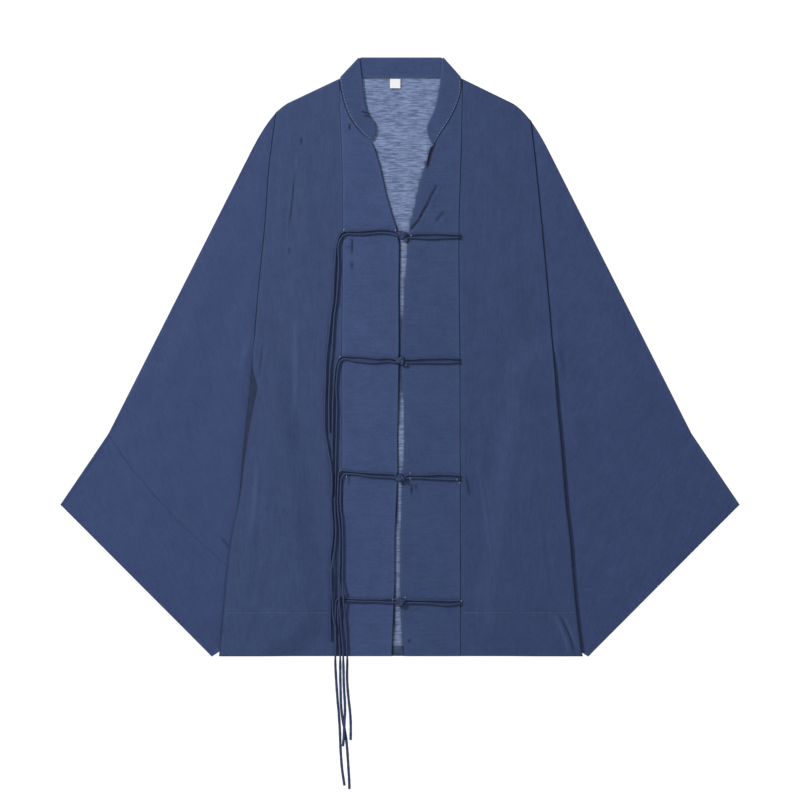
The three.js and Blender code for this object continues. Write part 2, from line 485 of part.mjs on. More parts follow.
function cuff(side) {
  const outer = chain([CUFF_KINK, CUFF_OUTER]);
  const inner = chain([UNDERARM_END, CUFF_INNER]);
  const opening = chain([CUFF_OUTER, CUFF_INNER]);
  const plan = patch(outer, inner, cuffSeam, opening, shares(CUFF_SEAM_STEPS), CUFF_RINGS);
  const placed = plan.map((row) => row.map((point) => place(side, point)));
  return flatTube(`${side.name}_cuff`, placed, CUFF_WALL, NAVY_SLEEVE);
}

// ---------------------------------------------------------------- collar
const COLLAR_FRONT_HEIGHT = DOUBLED + LAYER_GAP;

// Rings of one side, from the rounded front end over the fold to the last section before the middle.
// A ring is outer seam, outer free edge, inner free edge, inner seam; "outer" is the collar's outside.
function collarSide(side) {
  const ring = (seam, free, outerZ, innerZ) => [
    [side.sign * seam[0], seam[1], outerZ], [side.sign * free[0], free[1], outerZ],
    [side.sign * free[0], free[1], innerZ], [side.sign * seam[0], seam[1], innerZ],
  ];
  const rings = COLLAR_FRONT[side.name].map(([seamOut, seamY, freeOut, freeY]) => (
    ring([seamOut, seamY], [freeOut, freeY], COLLAR_FRONT_HEIGHT + DOUBLED, COLLAR_FRONT_HEIGHT)
  ));
  const [seamEnd, freeEnd] = COLLAR_FOLD[side.name];
  const length = distance(seamEnd, freeEnd);
  const inward = [-(freeEnd[1] - seamEnd[1]) / length, (freeEnd[0] - seamEnd[0]) / length];
  const outerRadius = (2 * DOUBLED + LAYER_GAP) / 2;
  const innerRadius = LAYER_GAP / 2;
  for (let i = 0; i <= FOLD_STEPS; i += 1) {
    const angle = Math.PI * i / FOLD_STEPS;
    const around = (end, radius) => {
      const inset = outerRadius - radius * Math.sin(angle);
      return [side.sign * (end[0] + inward[0] * inset), end[1] + inward[1] * inset,
        outerRadius + radius * Math.cos(angle)];
    };
    rings.push([around(seamEnd, outerRadius), around(freeEnd, outerRadius),
      around(freeEnd, innerRadius), around(seamEnd, innerRadius)]);
  }
  for (const out of COLLAR_BACK_OUT) {
    const freeOut = Math.min(out, freeEnd[0] - 2 * outerRadius);
    rings.push(ring([out, NECK_Y + SEAM_GAP], [freeOut, COLLAR_TOP_Y], 0, DOUBLED));
  }
  return rings;
}

function collar() {
  const rings = [...collarSide(RIGHT), ...collarSide(LEFT).reverse()];
  const points = rings.flat();
  const size = rings[0].length;
  const end = (rings.length - 1) * size;
  const faces = [
    ...loft(rings.length, size, 0),
    ...quad(3, 2, 1, 0),
    ...quad(end, end + 1, end + 2, end + 3),
  ];
  return closedBody('collar', points, faces, NAVY_BAND);
}

// ---------------------------------------------------------------- ties
function cord(name, path) {
  const through = path.map((point) => new THREE.Vector3(...point));
  const curve = new THREE.CatmullRomCurve3(through, false, 'centripetal');
  const section = new THREE.Shape(shares(CORD_SIDES).slice(0, -1).map((t) => (
    new THREE.Vector2(CORD_RADIUS * Math.cos(2 * Math.PI * t), CORD_RADIUS * Math.sin(2 * Math.PI * t))
  )));
  const steps = Math.ceil(curve.getLength() / CORD_STEP);
  const geometry = new THREE.ExtrudeGeometry(section, { steps, extrudePath: curve, bevelEnabled: false });
  const mesh = new THREE.Mesh(geometry, NAVY_CORD);
  mesh.name = name;
  return mesh;
}

function knot(index) {
  const mesh = new THREE.Mesh(new THREE.SphereGeometry(1, ...KNOT_FACETS), NAVY_CORD);
  mesh.name = `knot_${index + 1}`;
  mesh.scale.set(...KNOT_HALF);
  mesh.position.set(...KNOT_PLACES[index], FRONT_HEIGHT + DOUBLED + SEAM_GAP + KNOT_HALF[2]);
  return mesh;
}

// ---------------------------------------------------------------- the jacket
const jacket = new THREE.Group();
jacket.add(back(), label(), collar());
for (const side of [RIGHT, LEFT]) {
  jacket.add(front(side), band(side), sleeve(side), cuff(side));
}
for (const strand of STRANDS) jacket.add(cord(`left_strand_${strand.name}`, strand.path));
for (const tail of TAILS) jacket.add(cord(`right_tail_${tail.name}`, tail.path));
KNOT_PLACES.forEach((_, index) => jacket.add(knot(index)));

export default jacket;
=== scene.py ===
"""A kimono jacket laid flat, front side up: navy twill, a stand collar, wide sleeves and knotted cord ties.

Lengths in the tables are millimetres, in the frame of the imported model: +X towards the wearer's left,
+Y from the hem towards the collar, +Z up out of the surface. "right" and "left" are the wearer's.
Tables that serve both sides give "out", the distance from the centre line.
"""
import math

import bpy
import numpy as np
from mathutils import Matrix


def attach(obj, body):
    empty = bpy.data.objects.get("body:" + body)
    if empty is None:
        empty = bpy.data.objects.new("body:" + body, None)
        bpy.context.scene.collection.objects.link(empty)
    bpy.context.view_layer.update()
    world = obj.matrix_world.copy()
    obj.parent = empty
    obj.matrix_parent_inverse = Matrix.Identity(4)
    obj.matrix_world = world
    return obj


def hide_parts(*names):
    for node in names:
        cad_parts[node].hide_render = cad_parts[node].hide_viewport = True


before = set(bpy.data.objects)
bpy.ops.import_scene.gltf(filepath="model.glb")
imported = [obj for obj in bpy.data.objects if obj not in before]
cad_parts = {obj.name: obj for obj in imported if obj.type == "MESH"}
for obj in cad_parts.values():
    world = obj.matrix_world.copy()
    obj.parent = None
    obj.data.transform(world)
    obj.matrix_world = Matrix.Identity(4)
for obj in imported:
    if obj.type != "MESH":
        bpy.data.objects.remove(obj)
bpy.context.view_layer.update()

MM = 0.001
SIDES = {"right": -1, "left": 1}

# ---------------------------------------------------------------- driving sizes, as in the solids
CLOTH_WALL = 1.0            # wall of the solids' single layers
DOUBLED = 1.6               # doubled bands and collar
CUFF_WALL = 1.2
LAYER_GAP = 0.4
SEAM_GAP = 0.3
CLOTH = 0.5                 # the cloth itself, as it is seen at its edges
FRONT_TOP = 2 * CLOTH_WALL + LAYER_GAP
BAND_MIDDLE = CLOTH_WALL + LAYER_GAP + DOUBLED / 2

COLLAR_TOP_Y = 389.35
NECK_Y = 362.0
HEM_Y = -388.7
NECK_POINT = (80.0, 361.2)
SLOPE_END = (143.7, 331.0)
SHOULDER_CORNER = (167.1, 319.8)
SLEEVE_TOP = (193.0, 268.5)
CUFF_KINK = (378.9, -99.5)
CUFF_OUTER = (441.4, -191.8)
CUFF_INNER = (244.4, -389.35)
UNDERARM_END = (154.0, -329.5)
CUFF_SEAM_SAG = (322.0, -197.8)
ARMPIT = 0.506

BODY_LIFT = 3.2
LIFT_MARGIN = 30
LIFT_RAMP = 32
HEM_STITCH_Y = -332.0

CORD_RADIUS = 1.3
KNOT_HALF_HEIGHT = 3.1

SIDE_LINE = {
    #          y      out
    "right": [(317.7, 160.9), (246.4, 170), (177.5, 174.9), (86.5, 184), (0.6, 191.4), (-67, 198.8),
              (-142.4, 206.3), (-174.9, 208.8), (-250.3, 221.7), (-340, 230.6), (HEM_Y, 235)],
    "left": [(306.5, 170.3), (250, 176.7), (205, 181.3), (150, 186.6), (73.5, 193.6), (-26, 201.9),
             (-125.5, 211), (-186.6, 215.9), (-237, 221.7), (-298, 226.9), (-341, 231.3), (HEM_Y, 237.3)],
}
ARMHOLE_ON_BEND = {"right": 0.36, "left": 0.55}
BAND_SEAM = {
    #          y      out
    "right": [(361.2, 79.6), (349, 78.4), (314, 77.6), (280, 76), (0, 75.4), (HEM_Y, 74.8)],
    "left": [(361.2, 81.4), (345, 81.2), (285, 80), (179, 76.9), (0, 77.9), (HEM_Y, 78.6)],
}
BAND_EDGE = {
    #          y      x
    "right": [(347.5, -77.2), (345.2, -76.4), (334, -73.6), (323.4, -70.6), (308.5, -64), (295, -54),
              (286.6, -45.7), (279.9, -36.9), (268.4, -32.1), (245.6, -25.4), (209.2, -17.2),
              (185.9, -10.5), (167.7, -4.6), (145, -0.8), (86.5, -1.7), (21.5, -1.2), (-80, -2.5),
              (-104.7, -3.4), (-146, -2.7), (-180, -4.2), (-229.5, -6.6), (-290.6, -6.6), (-336, -8.6),
              (HEM_Y, -10.7)],
    "left": [(349, 80.2), (345.2, 79.4), (334, 76.2), (323.3, 72.8), (305, 62.9), (290.2, 52.9),
             (275, 43.9), (273, 39.6), (252.9, 34.5), (237.3, 29.3), (220.4, 24.1), (195.7, 19.4),
             (176.2, 14.4), (163.2, 11.8), (148.9, 10.8), (93, 6.6), (56.6, 4.2), (28, 0.9), (-4.6, 1),
             (-63, 5.2), (-104.7, 5.9), (-146, 4.2), (-180, 2.5), (-229.5, 0.7), (-290.6, 0.7),
             (-336, 1), (-374.4, 4.3), (HEM_Y, 5.9)],
}
COLLAR_FRONT = {
    #        seam out, y     free out, y
    "right": [(37.3, 281.4, 35.5, 281.7), (41, 284, 32.3, 288.5), (47, 288.9, 31.2, 296),
              (53.6, 295.7, 32.4, 302), (60, 303.9, 36.6, 309.4), (65.5, 312.8, 41.5, 317.5),
              (70.2, 323.8, 44.6, 325.5), (73.6, 335, 46.6, 335), (76, 345.4, 47.8, 345.5),
              (77.2, 353, 49, 359), (77.2, 358.6, 50.9, 374)],
    "left": [(42.9, 276, 41.2, 277.6), (46.6, 280.2, 37.6, 285.4), (50.2, 286.6, 35.2, 292.5),
             (54.5, 293.3, 35.1, 298.6), (60.4, 301.9, 37.6, 305.4), (66.3, 312, 41.6, 314),
             (72.1, 323.8, 45.5, 323.5), (76.2, 335, 48, 335), (78.8, 345.4, 50, 345.5),
             (79.2, 353, 52.4, 359), (79, 358.6, 54, 374)],
}
COLLAR_FOLD = {
    "right": ((78.2, 363.4), (53.9, COLLAR_TOP_Y)),
    "left": ((79.8, 363.4), (56.6, COLLAR_TOP_Y)),
}
LABEL = {"x": -6.2, "y": 355.2, "width": 13.6, "height": 12.2, "thick": 1.0}

# ---------------------------------------------------------------- routes of the cords
# Points are x, y, z. A point without a z lies on the level of the one before it.
KNOT_PLACES = [(3.2, 158.2), (0.7, -5.1), (0.7, -157.2), (1, -317.9)]
STRANDS = {
    "1a": [(11.6, 158.2, 4.6), (21.4, 159.8), (33.1, 159.9), (46.1, 160), (60.5, 159.5), (76, 158.5)],
    "1b": [(11.6, 154.8, 4.6), (21.4, 154.7), (34.5, 153.7), (44.9, 153.8), (57.9, 154.6), (76, 155.1)],
    "2a": [(8.7, -3.1, 4.6), (17.6, -3), (29.2, -2), (46.1, -1.7), (61.8, -1.4), (75.4, -2.5)],
    "2b": [(8.7, -7.2, 4.6), (17.6, -7.4), (29.2, -7.4), (46.1, -7.5), (61.8, -7.4), (75.4, -6.6)],
    "3a": [(8.7, -153.8, 4.6), (21.4, -153.5), (37.1, -153.1), (52.6, -152.4), (65.7, -152.8),
        (76, -154.1)],
    "3b": [(8.7, -157.4, 4.6), (21.4, -157), (37.1, -157.8), (52.6, -158.5), (65.7, -159), (76, -158.5)],
    "4a": [(9.1, -315.2, 4.6), (21.4, -315.8), (37.1, -315.6), (52.6, -316), (65.7, -316.3),
        (76.8, -316.3)],
    "4b": [(9.1, -319.2, 4.6), (21.4, -319.2), (37.1, -319.7), (47.5, -320.8), (57.9, -322.1), (67, -321.4),
        (76.8, -319.7)],
}
TAILS = {
    "1a": [(-5.1, 162.4, 4.6), (-15, 165), (-25.4, 165.5), (-35.8, 164.6), (-51.4, 163.5), (-64.4, 163.2),
        (-72.4, 162.6), (-76.6, 160.3, 4.4), (-79.7, 155.3, 4), (-81.8, 148.8), (-83.3, 139.8),
        (-84, 130.7), (-84.5, 121.5), (-85.3, 112.5), (-85.8, 102), (-86.1, 89), (-86.5, 77.4),
        (-87.5, 68.2), (-88.8, 60.5), (-90, 51.4), (-91.1, 41), (-92.4, 27.9), (-93.9, 15), (-95, 4.5),
        (-95.9, -7.2), (-96.3, -24.1), (-97, -43.6), (-97.6, -59.1), (-97.6, -74.8), (-97.4, -94.2),
        (-95.8, -106), (-94, -116.4), (-92.3, -126.8, 5), (-90.5, -135.8, 6.2), (-89, -146.2, 6.9),
        (-88.4, -158), (-88.3, -168.3), (-88.4, -178.8)],
    "1b": [(-5.1, 158.2, 4.6), (-15, 160.6), (-25.4, 161.2), (-35.8, 160.2), (-51.4, 158.9), (-61.8, 159.4),
        (-68.9, 159.6), (-73.5, 157.6), (-76.2, 154.1, 4.5), (-78.7, 149.5, 4.1), (-80, 143, 4),
        (-80.2, 135.8), (-79.7, 125.5), (-79.7, 115), (-80.1, 104.7), (-81, 94.2), (-81.8, 81.2),
        (-82.7, 70.9), (-83.9, 63.1), (-85.2, 54), (-85.9, 44.9), (-86.6, 34.5), (-87.1, 21.4),
        (-87.8, 11.1), (-88.5, 2), (-89.8, -7.2), (-91, -17.6), (-91.5, -30.6), (-91.9, -43.6),
        (-92.4, -56.6), (-92.3, -69.5), (-92, -82.5), (-91.9, -96.9)],
    "2a": [(-7.4, -2.7, 4.6), (-18.9, -1.2), (-27.9, -2), (-38.4, -1.2), (-51.4, 0.1), (-63.1, 0.7),
        (-70.9, 1), (-75.4, 0.7), (-78.4, -1.3, 4.1), (-81.2, -5.9, 4), (-83.3, -11.7), (-84.4, -17.6),
        (-85.2, -25.4), (-85.9, -35.8), (-86.5, -47.5), (-87, -56.6), (-87.4, -69.5), (-87.5, -87.8),
        (-88, -108.5), (-88.1, -119), (-87.9, -129.3), (-88, -139.8), (-88.4, -150.2), (-88.9, -165.8),
        (-89.2, -186.6), (-88.8, -199.6), (-87.6, -212.6), (-87.2, -225.6), (-87.9, -238.6),
        (-89.6, -251.6), (-90.4, -261.9), (-90.1, -273.7), (-89.8, -286.7), (-90, -299.7), (-90.5, -312.7),
        (-90.6, -329.6), (-90.5, -342.6), (-90.2, -355.6), (-90, -367.9)],
    "2b": [(-7.4, -6.9, 4.6), (-15, -5.7), (-25.4, -6.6), (-35.8, -7.4), (-44.9, -6.6), (-61.8, -4.9),
        (-65.9, -3.5), (-70.2, -2.5), (-74, -2.9), (-76.8, -4.9, 4.5), (-78.9, -8.5, 4), (-80.3, -13.7),
        (-81.2, -20.2), (-82, -27.9), (-82.7, -37.1), (-82.7, -47.5), (-81.9, -59.1), (-81.8, -69.5),
        (-82.4, -87.8), (-82.7, -108.5), (-83.3, -129.3), (-83.7, -147.6), (-84, -168.3), (-84.8, -186.6),
        (-83.7, -212.6), (-83.1, -225.6), (-83.7, -238.6), (-85, -251.6), (-87, -263.2, 5.2),
        (-88.7, -273.7, 6.9), (-89.3, -285.4), (-89.2, -297.1), (-88.4, -307.4, 6.3), (-87.5, -316.6, 4.6),
        (-87.4, -326.9, 4.1), (-86.6, -337.4, 5.3), (-85.2, -345.2, 6.9), (-83.7, -351), (-83.3, -355.6)],
    "3a": [(-7.4, -152.5, 4.6), (-18.9, -151.3), (-35.8, -150.7), (-48.8, -150), (-61.8, -148.8),
        (-70.9, -147.6), (-75.8, -147.4), (-78.4, -149.2, 4.1), (-79.7, -153.4, 4), (-80.2, -160.6),
        (-80.7, -173.6), (-81, -186.6), (-80.7, -197), (-79.7, -207.3), (-78.7, -217.8), (-77.9, -228.2),
        (-78, -245.1), (-78.1, -264.6), (-78.7, -280.2, 4.2), (-78.9, -293.2, 5.4), (-78.9, -304.9, 7.3),
        (-78.7, -319.2), (-78.1, -326.9, 6.4), (-77.5, -336.1, 4.8), (-76.8, -346.4, 4.3),
        (-76, -356.9, 4.4), (-74.9, -368.6, 4.6), (-74.1, -378.9), (-73.7, -388.1, 4.7),
        (-73.5, -400.4, 3.1), (-73.3, -410.2, 1.8), (-73.1, -423.2, 1.5), (-72.4, -436.2), (-71.6, -450.4),
        (-71.5, -460.9, 2.2), (-71.9, -471.2, 3.6), (-72.3, -479.1, 4.4), (-72.7, -488.2),
        (-73.2, -496.6, 3.6), (-74.1, -505.1, 2)],
    "3b": [(-7.4, -157.2, 4.6), (-17.6, -156.3), (-30.6, -155.6), (-41, -154.6), (-51.4, -153),
        (-59.1, -152.2), (-65.7, -151.8), (-70.9, -152.1), (-74.4, -154.4), (-76.2, -158.6),
        (-76.8, -165.8, 4.3), (-77.2, -176.2), (-77.5, -186.6), (-77, -197, 4.4), (-75.7, -207.3, 4.6),
        (-74.8, -217.8), (-74.4, -230.8), (-74.2, -245.1), (-74.2, -264.6), (-74.6, -280.2, 4.7),
        (-74.4, -294.4, 5.6), (-73.7, -306.2, 7.6), (-73.2, -317.9), (-72.5, -326.9, 6.3),
        (-71.4, -336.1, 4.8), (-70.3, -345.2, 4.6), (-69.7, -355.6), (-69.3, -368.6), (-68.9, -378.9),
        (-68.5, -388.1, 4.7), (-68.5, -400.4, 3.1), (-68.8, -410.2, 1.8), (-68.6, -421.9, 1.5),
        (-67.7, -434.9), (-66.4, -447.9), (-64.9, -460.9), (-64.1, -473.9), (-64, -485.6), (-64.1, -497.2)],
    "4a": [(-7, -314.5, 4.6), (-16.2, -313.9), (-25.4, -314.5), (-38.4, -314.2), (-51.4, -314.2),
        (-64.4, -313.7), (-72.2, -313), (-78, -312.7, 4.3), (-81.4, -314.6, 4), (-83.1, -319.2),
        (-83.6, -326.9), (-83.9, -337.4), (-83.9, -347.8), (-83.6, -360.8), (-83.5, -375.1),
        (-83.9, -388.1, 4.1), (-83.9, -400.4, 2.6), (-83.5, -410.2, 1.6), (-82.8, -421.9, 1.5),
        (-81.9, -434.9), (-80.9, -447.9), (-79.7, -460.9), (-78.8, -473.9), (-78, -488.2), (-77.5, -503.8),
        (-76.6, -519.4), (-75.3, -535), (-73.5, -548), (-72.2, -556.4)],
    "4b": [(-7, -318.6, 4.6), (-16.2, -318.9), (-25.4, -317.9), (-38.4, -317.5), (-51.4, -317.5),
        (-64.4, -316.9), (-72.2, -316.4), (-76.6, -316.6, 4.4), (-79, -319.2, 4), (-80.1, -324.4),
        (-80.5, -332.2), (-80.2, -342.6), (-79.6, -355.6), (-78.8, -368.6), (-78.1, -378.9),
        (-77.6, -388.1, 4.1), (-77.6, -400.4, 2.6), (-77.6, -410.2, 1.6), (-77.5, -421.9, 1.5),
        (-77.1, -434.9), (-76.8, -447.9), (-75.9, -460.9), (-74.2, -472.6), (-71.9, -484.2),
        (-69.8, -497.2), (-68.5, -511.6), (-67.5, -525.9), (-66.7, -538.9), (-66, -550.6), (-65.7, -561)],
}

# ---------------------------------------------------------------- creases, placed one by one
# Columns: x0, y0, x1, y1, bow to the left of the line, half width, height (a trough is negative).
CREASES = {
    "right_front": [
        (-133.6, 262, -138.6, 222, 0.3, 1.1, 0.35), (-140.4, 226, -146, 172, 0.6, 1.1, 0.2),
        (-136.5, 246, -144, 168, 0.8, 1, -0.5), (-144, 143, -143.4, 134, 0, 1, -0.5),
        (-128, 284.5, -128.6, 276, 0.4, 1.2, -0.6), (-137, 58, -137.5, -76, 2, 3, 0.35),
        (-118, 250, -112, 120, -5, 10, 0.35), (-160, 120, -168, -40, 4, 12, -0.4),
        (-150, -60, -176, -250, -8, 16, 0.5), (-112, -60, -124, -290, 6, 14, -0.45),
        (-178, 19, -183, -23, 0.6, 1.3, -0.25), (-186, -140, -194, -230, 2, 3.2, 0.35),
        (-181, -150, -187, -262, 3, 4.5, -0.3), (-196, -210, -205, -330, 3, 9, 0.4),
        (-176, -262, -184, -322, -3, 3.4, 0.3), (-166, -230, -172, -312, 3, 4, -0.25),
        (-128, -330, -160, -372, 2, 10, 0.3), (-100, 200, -104, 60, 2, 6, -0.2),
        (-152, 280, -160, 150, 3, 7, 0.25), (-196, -336, -206, -380, 2, 4, 0.3),
    ],
    "left_front": [
        (86, -154, 91, -180, 0, 1.4, -0.5), (105, -150, 123, -262, 1, 3.6, -0.4),
        (100.5, -139, 118, -258, 1, 1.7, 0.35), (207, -335, 227, -386, 2, 1.5, -0.45),
        (201, -336, 219, -384, 2, 1.8, 0.5), (211, -336, 230, -380, 2, 2, 0.35),
        (120, 240, 132, 60, 6, 14, 0.4), (160, 200, 176, 20, -5, 12, -0.4),
        (150, -40, 178, -250, 8, 16, 0.45), (96, 120, 94, -60, 2, 8, -0.3),
        (190, -210, 203, -318, -3, 4, -0.35), (182, -200, 194, -310, -2, 4, 0.35),
        (199, 40, 206, -100, -1, 4, 0.35), (196, 120, 198, 30, -1, 4, 0.25),
        (140, -260, 150, -325, 2, 6, 0.25), (176, -120, 184, -230, 2, 5, -0.25),
    ],
    "right_band": [
        (-73, 141.6, -60.5, 141.6, 0.6, 0.9, -0.7), (-62.4, 154, -62.4, 134, 0.6, 1, -0.55),
        (-73, 167.5, -60.5, 167, 0.4, 0.9, -0.6), (-62.6, 123, -61.4, 112, 0.4, 1.1, -0.6),
        (-66.6, -155, -66.2, -168, 0, 1, -0.55), (-65, 303, -65.4, 294, 0, 1.2, -0.6),
        (-66, 165, -66.6, 110, 0, 3.4, 0.25), (-70, 240, -52, 200, 2, 5, 0.35),
        (-40, 110, -44, 20, 3, 8, 0.3), (-50, -60, -46, -130, -3, 8, -0.3),
        (-40, -200, -44, -290, 3, 9, 0.35), (-30, -20, -60, -44, 2, 5, 0.25),
        (-24, 150, -60, 120, 3, 6, 0.3), (-36, -36, -40, -66, 2, 4, 0.25),
        (-14, -200, -18, -300, 2, 5, 0.25),
    ],
    "left_band": [
        (45, 277, 36, 246, -1.2, 2.1, -1.2), (49.1, 224, 35, 196, -1.2, 1.2, -0.75),
        (37, 200, 25, 179, -0.6, 1.3, -1), (26, 180, 13.5, 165.8, 0.5, 1.3, -1),
        (54, 226, 38, 190, -1.5, 3, 0.5), (33, 186, 20, 168, 0, 3, 0.45),
        (58, 190, 46, 174, -1, 1.6, -0.45), (62, 182, 50, 168, -1, 2.4, 0.35),
        (14, -163, 16, -180, 0, 1.2, -0.6), (19, -163, 23, -176, 0, 1.4, -0.35),
        (12, -366, 12.8, -372, 0, 1.1, -0.6), (40, 110, 46, 20, 3, 8, 0.3),
        (50, -40, 44, -130, -3, 9, -0.3), (44, -190, 52, -300, 3, 9, 0.3),
        (20, -20, 56, -40, 2, 5, 0.25), (22, -330, 60, -322, 2, 3.4, -0.3),
    ],
    "right_sleeve": [
        (-200, 220, -330, -60, 10, 26, 0.7), (-196, 120, -270, -150, -8, 22, -0.6),
        (-215, 40, -240, -200, 5, 18, 0.5), (-300, 20, -345, -90, 3, 12, -0.4),
        (-233, -235, -220, -250, 0.6, 1.5, -0.3), (-250, 90, -300, -40, -4, 14, 0.4),
        (-232, -231, -219, -246, 0.4, 2, 0.3), (-300, -176, -240, -240, 2, 5, -0.25),
    ],
    "left_sleeve": [
        (204, 210, 325, -70, -10, 26, 0.7), (200, 130, 262, -160, 8, 22, -0.6),
        (220, 30, 246, -190, -5, 18, 0.5), (296, 30, 350, -88, -3, 12, -0.4),
        (178.5, 200, 190, 120, 1, 5, 0.5), (254, 80, 306, -46, 4, 14, 0.4),
    ],
    "right_cuff": [
        (-360, -150, -300, -210, 6, 12, 0.4), (-280, -230, -250, -330, 4, 12, -0.4),
        (-330, -200, -350, -250, 2, 9, 0.35), (-290, -222, -224, -278, -3, 4, 0.3),
    ],
    "left_cuff": [
        (366, -150, 300, -215, -6, 12, 0.4), (284, -236, 256, -330, -4, 12, -0.4),
        (334, -206, 352, -256, -2, 9, 0.35),
    ],
    "back": [
        (-60, 330, -30, 200, 4, 12, 0.35), (40, 300, 22, 190, -4, 10, -0.3),
        (-150, 200, -160, -100, 6, 20, 0.5), (140, 210, 152, -120, -6, 20, 0.5),
        (0, 120, 6, -200, 5, 16, 0.4),
    ],
}


# ---------------------------------------------------------------- curves and tables
def cubic(start, end, start_slope, end_slope, t):
    """Cubic arc between two values with the given slopes, at shares t of it."""
    return (start * (1 + 2 * t) * (1 - t) ** 2 + end * t ** 2 * (3 - 2 * t)
            + start_slope * t * (1 - t) ** 2 - end_slope * t ** 2 * (1 - t))


def read_table(rows, at):
    """Second column of a table at values of its falling first column, on straight lines between rows."""
    first, second = np.array(rows, float)[::-1].T
    return np.interp(at, first, second)


def read_smooth(rows, at):
    """As read_table, on cubic arcs: each row's slope is the mean slope around it, so no row is a kink."""
    first, second = np.array(rows, float)[::-1].T
    slope = np.gradient(second, first)
    i = np.clip(np.searchsorted(first, at) - 1, 0, len(first) - 2)
    step = first[i + 1] - first[i]
    t = np.clip((at - first[i]) / step, 0, 1)
    return cubic(second[i], second[i + 1], step * slope[i], step * slope[i + 1], t)


def apart(a, b):
    """Distances between matching points."""
    return np.linalg.norm(a - b, axis=-1)


def chain(points, shares):
    """Points at the given shares of the length of a chain of points."""
    points = np.array(points, float)
    lengths = np.concatenate([[0], np.cumsum(apart(points[1:], points[:-1]))])
    return np.stack([np.interp(np.asarray(shares) * lengths[-1], lengths, column) for column in points.T],
                    axis=1)


def bend(start, control, end, low, high, steps=24):
    """Quadratic curve between two shares t of it: the blend of the blends of its three points."""
    t = np.linspace(low, high, steps + 1)[:, None]
    start, control, end = (np.array(p, float) for p in (start, control, end))
    return start * (1 - t) ** 2 + control * 2 * t * (1 - t) + end * t ** 2


def rope_curve(points, spacing):
    """Centripetal cubic through points: each span's tangents come from the square roots of the distances
    to its neighbours, and the ends are continued by their mirror images. Evenly spaced along its length."""
    p = np.array(points, float)
    p = np.vstack([2 * p[0] - p[1], p, 2 * p[-1] - p[-2]])
    gaps = np.maximum(apart(p[1:], p[:-1]) ** 0.5, 1e-6)[:, None]
    before, here, after = gaps[:-2], gaps[1:-1], gaps[2:]
    p0, p1, p2, p3 = p[:-3], p[1:-2], p[2:-1], p[3:]
    m1 = ((p1 - p0) / before - (p2 - p0) / (before + here) + (p2 - p1) / here) * here
    m2 = ((p2 - p1) / here - (p3 - p1) / (here + after) + (p3 - p2) / after) * here
    t = np.linspace(0, 1, 24, endpoint=False)[:, None, None]
    spans = cubic(p1, p2, m1, m2, t).transpose(1, 0, 2).reshape(-1, p.shape[1])
    dense = np.vstack([spans, p[-2]])
    length = apart(dense[1:], dense[:-1]).sum()
    return chain(dense, np.linspace(0, 1, max(3, round(length / spacing) + 1)))


def crowded(count, ends=0.85):
    """Shares from 0 to 1 that crowd at both ends: t less a sine of t."""
    t = np.linspace(0, 1, count + 1)
    return t - ends * np.sin(2 * np.pi * t) / (2 * np.pi)


def soft_step(value, low, high):
    """0 below low, 1 above high and a smooth cubic between."""
    t = np.clip((value - low) / (high - low), 0, 1)
    return t * t * (3 - 2 * t)


def bell(distance, width):
    """1 at no distance and falling as a bell curve of the given width."""
    return np.exp(-(distance / width) ** 2)


def patch(left, right, bottom, top, u, v):
    """Grid between four edges: the blend of both pairs of edges, less the blend of the four corners."""
    u, v = u[None, :, None], v[:, None, None]
    across = left[:, None] * (1 - u) + right[:, None] * u
    along = bottom[None] * (1 - v) + top[None] * v
    corners = (bottom[0] * (1 - u) + bottom[-1] * u) * (1 - v) + (top[0] * (1 - u) + top[-1] * u) * v
    return across + along - corners


# ---------------------------------------------------------------- heights of the cloth, its painted shade and painted highlights
TUCKED = np.array([(195.0, -31.0), (236.0, HEM_Y), CUFF_INNER, UNDERARM_END])
FOLD_WIDTH = 3.2            # troughs up to this half width also get painted shade, ridges a painted highlight
TROUGH, RIDGE = (-1, 1.5, 0.9), (1, 1.4, 0.8)   # sign of the creases' height, gain and most of the painted shade in troughs and highlight on ridges
RIPPLE_LENGTHS = (34, 52, 77, 118, 170)
RIPPLES = {"front": (0.22, 10), "band": (0.16, 20), "sleeve": (0.3, 30), "cuff": (0.22, 40)}  # height, seed
EDGE_HIGHLIGHT = 0.4            # how much lighter a painted highlight makes an edge
EDGE_ROUND = 1.3            # radius of a rolled seam edge
SEAM_DROP = 0.75            # how deep a seam draws the cloth in
LINE_WIDTH = 0.7            # half width of a thin seam line
BODY_HIGHLIGHT_WIDTH = 1.6      # how fast the painted edge highlight fades on body panels
BELOW_SOLID = {"front": 0.2, "band": 0.12, "sleeve": 0.25, "cuff": 0.65}   # room for the ridges


def body_lift(x, y):
    """Rise of the body over the tucked sleeves: full within a margin of the tucked outline, then a smooth
    ramp down with the distance from it."""
    point = np.stack([np.abs(x), y], axis=-1)
    inside = np.ones(x.shape, bool)
    nearest = np.full(x.shape, np.inf)
    for start, end in zip(TUCKED, np.roll(TUCKED, -1, axis=0)):
        along, away = end - start, point - start
        inside &= along[0] * away[..., 1] - along[1] * away[..., 0] <= 0
        share = np.clip((away @ along) / (along @ along), 0, 1)
        nearest = np.minimum(nearest, apart(away, share[..., None] * along))
    away = np.where(inside, 0, nearest)
    return BODY_LIFT * (1 - soft_step(away, LIFT_MARGIN, LIFT_MARGIN + LIFT_RAMP))


def crease_relief(x, y, rows):
    """Sum of soft troughs and ridges: each a bell across its bowed line, fading towards both ends."""
    relief = np.zeros(x.shape)
    for x0, y0, x1, y1, bow, width, height in rows:
        length = math.hypot(x1 - x0, y1 - y0)
        ax, ay = (x1 - x0) / length, (y1 - y0) / length
        along = ((x - x0) * ax + (y - y0) * ay) / length
        across = (y - y0) * ax - (x - x0) * ay - bow * 4 * along * (1 - along)
        fade = soft_step(along, -0.12, 0.25) * (1 - soft_step(along, 0.75, 1.12))
        relief += height * bell(across, width) * fade
    return relief


